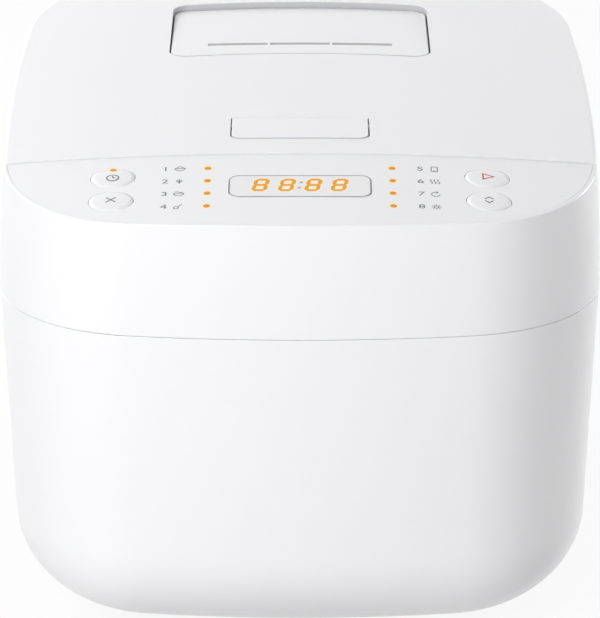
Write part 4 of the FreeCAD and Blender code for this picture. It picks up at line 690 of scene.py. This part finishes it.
class Rule(Tree):
    """A geometry tree with named sizes, which sets one shape at every point of a mesh."""

    def __init__(self, name, sizes):
        super().__init__(bpy.data.node_groups.new(name, "GeometryNodeTree"))
        self.tree.is_modifier = True
        self.sizes = sizes
        face = self.tree.interface
        face.new_socket("Geometry", in_out="INPUT", socket_type="NodeSocketGeometry")
        for size in sizes:
            face.new_socket(size, in_out="INPUT", socket_type="NodeSocketFloat")
        face.new_socket("Geometry", in_out="OUTPUT", socket_type="NodeSocketGeometry")
        self.entry = self.tree.nodes.new("NodeGroupInput")

    def size(self, name):
        return Wire(self, self.entry.outputs[name])

    def shift(self, geometry, z):
        offset = self.node("ShaderNodeCombineXYZ", None, {"Z": z})
        return self.node("GeometryNodeTransform", None, {"Geometry": geometry, "Translation": offset})

    def join(self, *parts):
        node = self.tree.nodes.new("GeometryNodeJoinGeometry")
        for part in parts:
            self.tree.links.new(part.socket, node.inputs[0])
        return Wire(self, node.outputs[0])

    def end(self, shape, material):
        """Set the shape at every point, along the point's axis, and finish the tree."""
        axis = self.node("GeometryNodeInputNamedAttribute", {"data_type": "FLOAT_VECTOR"},
                         {"Name": "axis"})
        turn = self.node("FunctionNodeAlignRotationToVector", {"axis": "Z"}, {"Vector": axis})
        points = Wire(self, self.entry.outputs["Geometry"])
        copies = self.node("GeometryNodeInstanceOnPoints", None,
                           {"Points": points, "Instance": shape, "Rotation": turn})
        real = self.node("GeometryNodeRealizeInstances", None, {"Geometry": copies})
        painted = self.node("GeometryNodeSetMaterial", None, {"Geometry": real, "Material": material})
        exit_node = self.tree.nodes.new("NodeGroupOutput")
        self.feed(exit_node.inputs["Geometry"], painted)

    def made(self, name, spots):
        """A plain mesh of the rule at the spots: pairs of a place and an axis."""
        mesh = bpy.data.meshes.new(name)
        mesh.from_pydata([Vector(place) for place, _ in spots], [], [])
        axes = mesh.attributes.new("axis", "FLOAT_VECTOR", "POINT")
        axes.data.foreach_set("vector", [part for _, axis in spots for part in axis])
        item = bpy.data.objects.new(name, mesh)
        bpy.context.scene.collection.objects.link(item)
        modifier = item.modifiers.new("rule", "NODES")
        modifier.node_group = self.tree
        for socket in self.tree.interface.items_tree:
            if socket.in_out == "INPUT" and socket.name in self.sizes:
                modifier[socket.identifier] = self.sizes[socket.name] * MM
        graph = bpy.context.evaluated_depsgraph_get()
        result = bpy.data.meshes.new_from_object(item.evaluated_get(graph))
        item.modifiers.remove(modifier)
        bpy.data.objects.remove(item)
        bpy.data.meshes.remove(mesh)
        for leftover in [item for item in result.attributes if item.name == "axis"]:
            result.attributes.remove(leftover)
        result.name = name
        return result


HEAD_TAPER = 0.72
RECESS_START = 0.9


def screw_rule(name, sizes):
    """Pan-head screws with a cross recess; the axis points out of the head."""
    rule = Rule(name, sizes)
    height = rule.size("Head Height")
    head = rule.node("GeometryNodeMeshCone", None,
                     {"Vertices": 40, "Side Segments": 1, "Fill Segments": 1,
                      "Radius Top": rule.size("Head Radius") * HEAD_TAPER,
                      "Radius Bottom": rule.size("Head Radius"), "Depth": height})
    bars = []
    for along, across in (("X", "Y"), ("Y", "X")):
        bar_size = rule.node("ShaderNodeCombineXYZ", None,
                             {along: rule.size("Recess Length"), across: rule.size("Recess Width"),
                              "Z": height})
        bar = rule.node("GeometryNodeMeshCube", None, {"Size": bar_size})
        bars.append(rule.shift(bar, height * RECESS_START))
    cut_head = rule.node("GeometryNodeMeshBoolean", {"operation": "DIFFERENCE", "solver": "EXACT"},
                         {0: head, 1: bars[0]})
    rule.tree.links.new(bars[1].socket, cut_head.socket.node.inputs[1])
    length = rule.size("Shank Length")
    shank = rule.node("GeometryNodeMeshCylinder", None,
                      {"Vertices": 20, "Radius": rule.size("Shank Radius"), "Depth": length})
    rule.end(rule.join(cut_head, rule.shift(shank, length * -0.5)), SCREW_ZINC)
    return rule


def coil_rule(name, sizes):
    """Round-wire coil springs, wound up from each point along its axis."""
    rule = Rule(name, sizes)
    wire = rule.size("Wire Radius")
    turns = sizes["Length"] / sizes["Pitch"]
    spiral = rule.node("GeometryNodeCurveSpiral", None,
                       {"Resolution": 24, "Rotations": turns, "Start Radius": rule.size("Coil Radius"),
                        "End Radius": rule.size("Coil Radius"), "Height": rule.size("Length")})
    circle = rule.node("GeometryNodeCurvePrimitiveCircle", None, {"Resolution": 8, "Radius": wire})
    coil = rule.node("GeometryNodeCurveToMesh", None,
                     {"Curve": spiral, "Profile Curve": circle, "Fill Caps": True})
    rule.end(coil, SPRING_STEEL)
    return rule


LENS_DOME = 0.16


def lens_rule(name, sizes):
    """Round light guides with a domed tip; the axis points out of the panel."""
    rule = Rule(name, sizes)
    radius, length = rule.size("Radius"), rule.size("Length")
    rod = rule.node("GeometryNodeMeshCylinder", None,
                    {"Vertices": 24, "Radius": radius, "Depth": length})
    dome = rule.node("GeometryNodeMeshUVSphere", None,
                     {"Segments": 28, "Rings": 12, "Radius": rule.size("Cap Radius")})
    flat = rule.node("GeometryNodeTransform", None, {"Geometry": dome, "Scale": (1.0, 1.0, LENS_DOME)})
    rule.end(rule.join(rule.shift(rod, length * -0.5), flat), LIGHT_AMBER)
    return rule


BASE_SCREWS = [((x * MM, y * MM, 3.0 * MM), (0, 0, -1)) for x in (-68.0, 68.0) for y in (-40.0, 40.0)]
LID_SCREWS = [((x * MM, y * MM, 178.3 * MM), (0, 0, -1)) for x in (-85.0, 85.0) for y in (-66.0, 98.0)]
INLET_SCREWS = [((x * MM, 163.5 * MM, 62.0 * MM), (0, 1, 0)) for x in (-19.0, 19.0)]
CASE_SCREW = {"Head Radius": 3.0, "Head Height": 1.5, "Shank Radius": 1.5, "Recess Length": 3.0,
              "Recess Width": 0.7}
for node, spots, sizes in (
        ("base_screws", BASE_SCREWS, {"Shank Length": 9.5}),
        ("lid_screws", LID_SCREWS, {"Shank Length": 11.5}),
        ("inlet_screws", INLET_SCREWS, {"Shank Length": 3.0, "Head Height": 1.2})):
    mesh = screw_rule(node, {**CASE_SCREW, **sizes}).made(node + "_crosshead", spots)
    add_piece(node + "_crosshead", mesh, body_of(node), "screw_steel", None, [node])

UP = Vector((0, 0, 1))
HINGE_COIL = {"Coil Radius": 4.7, "Wire Radius": 0.9, "Length": 16.2, "Pitch": 2.0}
SENSOR_COIL = {"Coil Radius": 10.1, "Wire Radius": 0.8, "Length": 14.0, "Pitch": 3.2}
RELEASE_COIL = {"Coil Radius": 2.8, "Wire Radius": 0.4, "Length": 12.2, "Pitch": 1.9}
HINGE_COIL_STARTS = (-40.1, 23.9)
SENSOR_FOOT = Vector((0, POT_Y, 31.3)) * MM
RELEASE_FOOT = Vector((12.0, -67.6, 194.0)) * MM


def add_coils(name, node, body, sizes, spots):
    """Wound springs in the space of a node's plain sleeves."""
    mesh = coil_rule(name, sizes).made(name, spots)
    return add_piece(name, mesh, body, "spring_steel", None, [node])


def standing(foot, sizes):
    """The start of a coil whose wire rests on its foot."""
    return [(foot + UP * sizes["Wire Radius"] * MM, UP)]


add_coils("hinge_coils", "hinge_springs", "base", HINGE_COIL,
          [(Vector((x, HINGE_Y, HINGE_HEIGHT)) * MM, (1, 0, 0)) for x in HINGE_COIL_STARTS])
coil = add_coils("sensor_coil", "sensor_spring", "base", SENSOR_COIL,
                 standing(SENSOR_FOOT, SENSOR_COIL))
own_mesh(coil)
coil = add_coils("release_coil", "release_spring", "lid", RELEASE_COIL,
                 standing(RELEASE_FOOT, RELEASE_COIL))
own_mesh(coil)


# Printed marks, lights and digits on the panel

PRINT_TOP = 0.03
PRINT_ROOT = -0.06
MARK_CLEAR = 0.1
UP_SLOPE = Vector((0, math.cos(PANEL_SLOPE), math.sin(PANEL_SLOPE)))
OFF_SLOPE = Vector((0, -math.sin(PANEL_SLOPE), math.cos(PANEL_SLOPE)))


def panel_place(x, row, lift=0.0):
    """A spot on the crowned panel, lift above it; its x and y lie in the surface."""
    lean = math.asin(x / CROWN_RADIUS)
    normal = Vector((math.sin(lean), 0, 0)) + OFF_SLOPE * math.cos(lean)
    base = Vector((x, -HALF_DEPTH, PANEL_EDGE_HEIGHT)) + UP_SLOPE * row + normal * lift
    base -= OFF_SLOPE * CROWN_RADIUS * (1 - math.cos(lean))
    turn = Matrix.Rotation(PANEL_SLOPE, 4, "X") @ Matrix.Rotation(lean, 4, "Y")
    return Matrix.Translation(base * MM) @ turn


def wall_place(turn_deg, height):
    """A spot on the pot's inside wall, seen from the pot's middle."""
    turn = math.radians(turn_deg)
    outward = Vector((math.cos(turn), math.sin(turn), 0))
    right = Vector((math.sin(turn), -math.cos(turn), 0))
    base = Vector((0, POT_Y, height)) + outward * (POT_RADIUS - MARK_CLEAR)
    axes = Matrix((right, Vector((0, 0, 1)), -outward)).transposed().to_4x4()
    return Matrix.Translation(base * MM) @ axes


def spot_on(place, x, y, z):
    return place @ Vector((x * MM, y * MM, z * MM))


def slab(shape, place, outline):
    """Add a thin raised patch with the given outline."""
    top = [shape.verts.new(spot_on(place, x, y, PRINT_TOP)) for x, y in outline]
    root = [shape.verts.new(spot_on(place, x, y, PRINT_ROOT)) for x, y in outline]
    shape.faces.new(top)
    shape.faces.new(root[::-1])
    for index in range(len(outline)):
        after = (index + 1) % len(outline)
        shape.faces.new((root[index], root[after], top[after], top[index]))


def ribbon(shape, place, points, width, closed=False):
    """Add a thin raised line along points."""
    count = len(points)
    rows = []
    for index, point in enumerate(points):
        here = Vector(point)
        before = Vector(points[index - 1]) if closed or index else None
        after = Vector(points[(index + 1) % count]) if closed or index < count - 1 else None
        out = (after - here).normalized() if after else (here - before).normalized()
        into = (here - before).normalized() if before else out
        side = Vector((-into.y - out.y, into.x + out.x)).normalized()
        reach = width / 2 / max(0.5, side.dot(Vector((-into.y, into.x))))
        left, right = here + side * reach, here - side * reach
        rows.append([shape.verts.new(spot_on(place, end.x, end.y, z)) for end, z in
                     ((left, PRINT_TOP), (left, PRINT_ROOT), (right, PRINT_ROOT), (right, PRINT_TOP))])
    last = count if closed else count - 1
    for index in range(last):
        first, second = rows[index], rows[(index + 1) % count]
        for corner in range(4):
            after = (corner + 1) % 4
            shape.faces.new((first[corner], first[after], second[after], second[corner]))
    if not closed:
        shape.faces.new(rows[0][::-1])
        shape.faces.new(rows[-1])


def number(shape, place, text, size, stretch):
    """Add plain figures."""
    curve = bpy.data.curves.new("figure", "FONT")
    curve.body = text
    curve.size = size * MM
    curve.align_x, curve.align_y = "CENTER", "CENTER"
    curve.extrude = PRINT_TOP * MM
    curve.resolution_u = 4
    item = bpy.data.objects.new("figure", curve)
    bpy.context.scene.collection.objects.link(item)
    graph = bpy.context.evaluated_depsgraph_get()
    mesh = bpy.data.meshes.new_from_object(item.evaluated_get(graph))
    mesh.transform(place @ Matrix.Diagonal((stretch, 1, 1, 1)))
    shape.from_mesh(mesh)
    bpy.data.objects.remove(item)
    bpy.data.meshes.remove(mesh)
    bpy.data.curves.remove(curve)


def arc(x, y, radius, start_deg, end_deg, steps=16):
    turns = [math.radians(start_deg + (end_deg - start_deg) * step / steps) for step in range(steps + 1)]
    return [(x + radius * math.cos(turn), y + radius * math.sin(turn)) for turn in turns]


def ring(x, y, radius, steps=24):
    return arc(x, y, radius, 0, 360, steps)[:-1]


def ripple(x, y, length, swing, upright=False):
    """A wavy line."""
    steps = 14
    line = [(length * (step / steps - 0.5), swing * math.sin(math.tau * step / steps))
            for step in range(steps + 1)]
    return [(x + side, y + along) if upright else (x + along, y + side) for along, side in line]


def round_box(half_width, half_height, corner, steps=6):
    points = []
    for sign_x, sign_y, start in ((1, 1, 0), (-1, 1, 90), (-1, -1, 180), (1, -1, 270)):
        points += arc(sign_x * (half_width - corner), sign_y * (half_height - corner), corner,
                      start, start + 90, steps)
    return points


BOWL = (arc(0, 0.4, 2.1, 180, 360), True)
PROGRAM_SIGNS = [
    [BOWL, (arc(0, 0.5, 1.4, 15, 165), False)],
    [([(0, -2.0), (0, 1.9)], False)] + [([(0, y), (side * 1.2, y + 1.0)], False)
                                         for side in (-1, 1) for y in (-1.1, 0.0)],
    [BOWL, (ripple(0, 1.5, 3.4, 0.35), False)],
    [(ring(-0.8, -1.0, 1.0), True), ([(-0.1, -0.2), (1.5, 2.0)], False)],
    [(round_box(1.3, 2.1, 0.5), True), ([(-0.5, -1.4), (0.5, -1.4)], False)],
    [(ripple(x, 0, 4.0, 0.4, True), False) for x in (-1.5, 0.0, 1.5)],
    [(arc(0, 0, 1.8, 60, 350), False), ([(0.2, 0.9), (0.9, 1.56), (0.3, 2.4)], False)],
    [(ring(0, 0, 0.95), True)] + [([(1.4 * math.cos(turn), 1.4 * math.sin(turn)),
                                    (2.1 * math.cos(turn), 2.1 * math.sin(turn))], False)
                                   for turn in (math.tau * ray / 8 for ray in range(8))],
]
LABEL_X = 53.4
SIGN_WIDTH = 0.42
SIGN_OFFSET = 3.0
FIGURE_SIZE = 5.0
FIGURE_STRETCH = 1.25
PROGRAM_SPOTS = [(side, row) for side in (-1, 1) for row in LIGHT_ROWS]


def finished(shape, name, body, slot, material):
    """Turn drawn shapes into a piece."""
    bmesh.ops.recalc_face_normals(shape, faces=shape.faces)
    mesh = bpy.data.meshes.new(name)
    shape.to_mesh(mesh)
    shape.free()
    return add_piece(name, mesh, body, slot, material)


def program_marks():
    """A plain number and a simple sign beside each program light."""
    shape = bmesh.new()
    for index, (side, row) in enumerate(PROGRAM_SPOTS):
        number(shape, panel_place(side * LABEL_X - SIGN_OFFSET, row), str(index + 1),
               FIGURE_SIZE, FIGURE_STRETCH)
        place = panel_place(side * LABEL_X + SIGN_OFFSET, row)
        for points, closed in PROGRAM_SIGNS[index]:
            ribbon(shape, place, points, SIGN_WIDTH, closed)
    finished(shape, "program_marks", "base", "panel_plastic", LABEL_GREY)


KEY_ROW_UPPER = 48.3
KEY_ROW_LOWER = 27.4
KEY_PROUD = 0.25
KEY_SIGNS = [
    ("timer_key", -KEY_COLUMN_X, KEY_ROW_UPPER, LABEL_GREY,
     [(ring(0, -1.2, 2.5), True), ([(0, 0.4), (0, -1.2), (1.2, -1.2)], False)]),
    ("cancel_key", -KEY_COLUMN_X, KEY_ROW_LOWER, LABEL_GREY,
     [([(-2.0, -2.0), (2.0, 2.0)], False), ([(-2.0, 2.0), (2.0, -2.0)], False)]),
    ("start_key", KEY_COLUMN_X, KEY_ROW_UPPER, LABEL_RED,
     [([(-1.8, -2.4), (2.6, 0.0), (-1.8, 2.4)], True)]),
    ("select_key", KEY_COLUMN_X, KEY_ROW_LOWER, LABEL_GREY,
     [([(-1.8, 0.7), (0.0, 2.4), (1.8, 0.7)], False), ([(-1.8, -0.7), (0.0, -2.4), (1.8, -0.7)], False)]),
]
KEY_SIGN_WIDTH = 0.6
PILLOW_HALF_WIDTH = 8.8
PILLOW_HALF_LENGTH = 7.75
PILLOW_RISE = 0.5
PILLOW_STEPS = 64
PILLOW_RINGS = 8


def pillow_height(x, y):
    """Height of a key's cushioned top over the panel."""
    share = (x / PILLOW_HALF_WIDTH) ** 2 + (y / PILLOW_HALF_LENGTH) ** 2
    return KEY_PROUD + PILLOW_RISE * (1 - share)


def key_pillows():
    """The softly cushioned top of each key."""
    for body, x, row, _, _ in KEY_SIGNS:
        place = panel_place(x, row)
        shape = bmesh.new()
        middle = shape.verts.new(spot_on(place, 0, 0, pillow_height(0, 0)))
        rings = []
        for ring_index in range(1, PILLOW_RINGS + 1):
            share = ring_index / PILLOW_RINGS
            outline = [(PILLOW_HALF_WIDTH * share * across, PILLOW_HALF_LENGTH * share * along)
                       for across, along in ring(0, 0, 1.0, PILLOW_STEPS)]
            rings.append([shape.verts.new(spot_on(place, *spot, pillow_height(*spot))) for spot in outline])
        rings.append([shape.verts.new(spot_on(place, *spot, 0.0)) for spot in outline])
        for step in range(PILLOW_STEPS):
            after = (step + 1) % PILLOW_STEPS
            shape.faces.new((middle, rings[0][step], rings[0][after]))
            for inner, outer in zip(rings, rings[1:]):
                shape.faces.new((inner[step], outer[step], outer[after], inner[after]))
        shape.faces.new(rings[-1][::-1])
        for face in shape.faces:
            face.smooth = len(face.verts) < PILLOW_STEPS
        finished(shape, body + "_pillow", body, "key_plastic", KEY_WHITE)


def key_marks():
    """The sign on each key."""
    for body, x, row, material, strokes in KEY_SIGNS:
        shape = bmesh.new()
        for points, closed in strokes:
            ribbon(shape, panel_place(x, row, pillow_height(0, 0)), points, KEY_SIGN_WIDTH, closed)
        finished(shape, body + "_mark", body, "key_plastic", material)


WINDOW_ROW = 37.58
WINDOW_HALF_WIDTH = 29.7
WINDOW_HALF_LENGTH = 9.625
WINDOW_CORNER = 4.5
WINDOW_LINE = 0.55
DIGIT_X = (-16.4, -5.4, 5.6, 16.5)
DIGIT_ROW = 38.5
DIGIT_HALF_WIDTH = 2.4
DIGIT_HALF_HEIGHT = 4.75
STROKE = 1.65
STROKE_GAP = 0.02
SLANT = math.tan(math.radians(9.5))
COLON_RISE = 2.35
COLON_RADIUS = 0.8
COLON_X = 0.1
GLOW_SPREAD = 0.3


def slanted(points, x):
    return [(x + across + up * SLANT, up) for across, up in points]


def segment(start, end):
    """The outline of one stroke of a figure, pointed at both ends."""
    start, end = Vector(start), Vector(end)
    along = (end - start).normalized()
    side = Vector((-along.y, along.x)) * STROKE / 2
    tip_in, tip_out = start + along * STROKE_GAP, end - along * STROKE_GAP
    shoulder = along * STROKE / 2
    return [tuple(point) for point in (tip_in, tip_in + shoulder - side, tip_out - shoulder - side,
                                       tip_out, tip_out - shoulder + side, tip_in + shoulder + side)]


def digits():
    """Four lit figures and a dim colon in the window, the glow behind them and the line round it."""
    place = panel_place(0, DIGIT_ROW)
    w, h = DIGIT_HALF_WIDTH, DIGIT_HALF_HEIGHT
    corners = [((-w, h), (w, h)), ((-w, 0), (w, 0)), ((-w, -h), (w, -h)), ((-w, 0), (-w, h)),
               ((-w, -h), (-w, 0)), ((w, 0), (w, h)), ((w, -h), (w, 0))]
    shape = bmesh.new()
    for x in DIGIT_X:
        for start, end in corners:
            slab(shape, place, slanted(segment(start, end), x))
    finished(shape, "digit_strokes", "base", "lens_amber", AMBER)
    shape = bmesh.new()
    for rise in (-COLON_RISE, COLON_RISE):
        slab(shape, place, slanted(ring(0, rise, COLON_RADIUS, 16), COLON_X))
    finished(shape, "digit_colon", "base", "lens_amber", COLON_TAN)
    shape = bmesh.new()
    behind = place @ Matrix.Translation((0, 0, -PRINT_TOP * MM / 2))
    glow_margin = STROKE / 2 + GLOW_SPREAD
    for x in DIGIT_X:
        slab(shape, behind, slanted(round_box(w + glow_margin, h + glow_margin, STROKE), x))
    finished(shape, "digit_glow", "base", "window_plastic", GLOW)
    shape = bmesh.new()
    inset = WINDOW_LINE / 2
    outline = round_box(WINDOW_HALF_WIDTH - inset, WINDOW_HALF_LENGTH - inset, WINDOW_CORNER - inset)
    ribbon(shape, panel_place(0, WINDOW_ROW), outline, WINDOW_LINE, True)
    finished(shape, "window_line", "base", "window_plastic", LINE_GREY)


LEVEL_FIRST = 84.0
LEVEL_STEP = 8.0
LEVEL_TURN_DEG = 104.0
LEVEL_COUNT = 10
LEVEL_LINE = 0.6
LEVEL_LONG = 4.0
LEVEL_SHORT = 1.0
LEVEL_FIGURE_TURN = 5.5
LEVEL_FIGURE_SIZE = 7.0


def pot_levels():
    """Water level lines with plain numbers inside the pot."""
    shape = bmesh.new()
    for step in range(LEVEL_COUNT):
        height = LEVEL_FIRST + LEVEL_STEP * step
        numbered = step % 2 == 1
        line = [(-LEVEL_LONG, 0), (LEVEL_LONG if numbered else LEVEL_SHORT, 0)]
        ribbon(shape, wall_place(LEVEL_TURN_DEG, height), line, LEVEL_LINE)
        if numbered:
            number(shape, wall_place(LEVEL_TURN_DEG - LEVEL_FIGURE_TURN, height), str(step + 1),
                   LEVEL_FIGURE_SIZE, 1.0)
    finished(shape, "pot_levels", "base", "pot_coating", LEVEL_INK)


def lens_spot(x, row, lift=0.0):
    """A place on the panel and the axis that points out of it."""
    place = panel_place(x, row, lift)
    return place.translation, place.to_3x3() @ Vector((0, 0, 1))


LIGHT_GUIDE = {"Radius": 1.15, "Cap Radius": 1.45}
mesh = lens_rule("program_lens", {**LIGHT_GUIDE, "Length": 8.0}).made(
    "program_lenses", [lens_spot(side * LIGHT_COLUMN_X, row) for side, row in PROGRAM_SPOTS])
add_piece("program_lenses", mesh, "base", "lens_amber", None, ["indicator_lenses"])
timer_lift = pillow_height(0, LIGHT_ROWS[0] - KEY_ROW_UPPER)
mesh = lens_rule("timer_lens", {**LIGHT_GUIDE, "Length": 2.0}).made(
    "timer_lens", [lens_spot(-KEY_COLUMN_X, LIGHT_ROWS[0], timer_lift)])
add_piece("timer_lens", mesh, "timer_key", "lens_amber", None, ["timer_light"])
key_pillows()
program_marks()
key_marks()
digits()
pot_levels()


# Stage, light and camera

SKY_STRENGTH = 0.2
LAMP_TARGET = (0.0, 0.0, 0.12)
FLOOR_REACH = 6.0
FLOOR_TONE = grey(0.72)
FLOOR_WHITE_SHARE = 0.9


def area_light(name, place, size, power):
    """A soft lamp that points at the object's middle."""
    lamp = bpy.data.lights.new(name, "AREA")
    lamp.shape = "RECTANGLE"
    lamp.size, lamp.size_y = size
    lamp.energy = power
    item = bpy.data.objects.new(name, lamp)
    item.location = place
    toward = Vector(LAMP_TARGET) - Vector(place)
    item.rotation_euler = toward.to_track_quat("-Z", "Y").to_euler()
    bpy.context.scene.collection.objects.link(item)


def pale_background(finish, plain, white_share):
    """Show white to the camera and to reflections, and the plain shader to the rest."""
    path = finish.tree.nodes.new("ShaderNodeLightPath")
    camera, gloss, through = [Wire(finish, path.outputs[name]) for name in
                              ("Is Camera Ray", "Is Glossy Ray", "Is Transmission Ray")]
    seen = (camera + gloss + through) * white_share
    white = finish.node("ShaderNodeEmission", None, {"Color": grey(1.0), "Strength": 1.0})
    return finish.node("ShaderNodeMixShader", None, {0: seen, 1: plain, 2: white})


def floor():
    """A wide pale floor that keeps the shadow."""
    mesh = bpy.data.meshes.new("floor")
    corners = [(x * FLOOR_REACH, y * FLOOR_REACH, 0) for x, y in ((-1, -1), (1, -1), (1, 1), (-1, 1))]
    mesh.from_pydata(corners, [], [(0, 1, 2, 3)])
    item = bpy.data.objects.new("floor", mesh)
    bpy.context.scene.collection.objects.link(item)
    finish = Finish("floor_white", roughness=0.8)
    finish.set("Base Color", FLOOR_TONE)
    plain = Wire(finish, finish.shader.outputs[0])
    surface = pale_background(finish, plain, FLOOR_WHITE_SHARE)
    finish.feed(finish.tree.nodes["Material Output"].inputs["Surface"], surface)
    mesh.materials.append(finish.material)


def sky():
    """An even pale surround."""
    world = bpy.data.worlds.new("studio")
    bpy.context.scene.world = world
    world.use_nodes = True
    sky_tree = Tree(world.node_tree)
    light = world.node_tree.nodes["Background"]
    light.inputs["Color"].default_value = grey(1.0)
    light.inputs["Strength"].default_value = SKY_STRENGTH
    surface = pale_background(sky_tree, Wire(sky_tree, light.outputs[0]), 1.0)
    sky_tree.feed(world.node_tree.nodes["World Output"].inputs["Surface"], surface)


floor()
sky()
area_light("front_high", (-0.4, -2.2, 2.0), (1.2, 0.8), 6.0)
area_light("near_left", (-0.75, -1.5, 1.0), (0.5, 0.9), 22.3)
area_light("rear_left", (-0.8, 0.9, 0.75), (0.5, 0.7), 10.5)
area_light("right_edge", (1.0, 0.5, 0.35), (0.3, 0.7), 7.2)
area_light("overhead", (0.0, 0.1, 2.2), (1.4, 1.4), 5.0)

CAMERA_Y = -1.7087
CAMERA_HEIGHT = 0.7319
LOOK_DOWN = math.radians(20.173)
CAMERA_LENS = 233.0
SENSOR_WIDTH = 36.0
camera = bpy.data.cameras.new("photo_camera")
camera.lens = CAMERA_LENS
camera.sensor_width = SENSOR_WIDTH
view = bpy.data.objects.new("photo_camera", camera)
view.location = (0.0, CAMERA_Y, CAMERA_HEIGHT)
view.rotation_euler = (math.pi / 2 - LOOK_DOWN, 0.0, 0.0)
bpy.context.scene.collection.objects.link(view)
bpy.context.scene.camera = view
bpy.context.scene.view_settings.view_transform = "Standard"
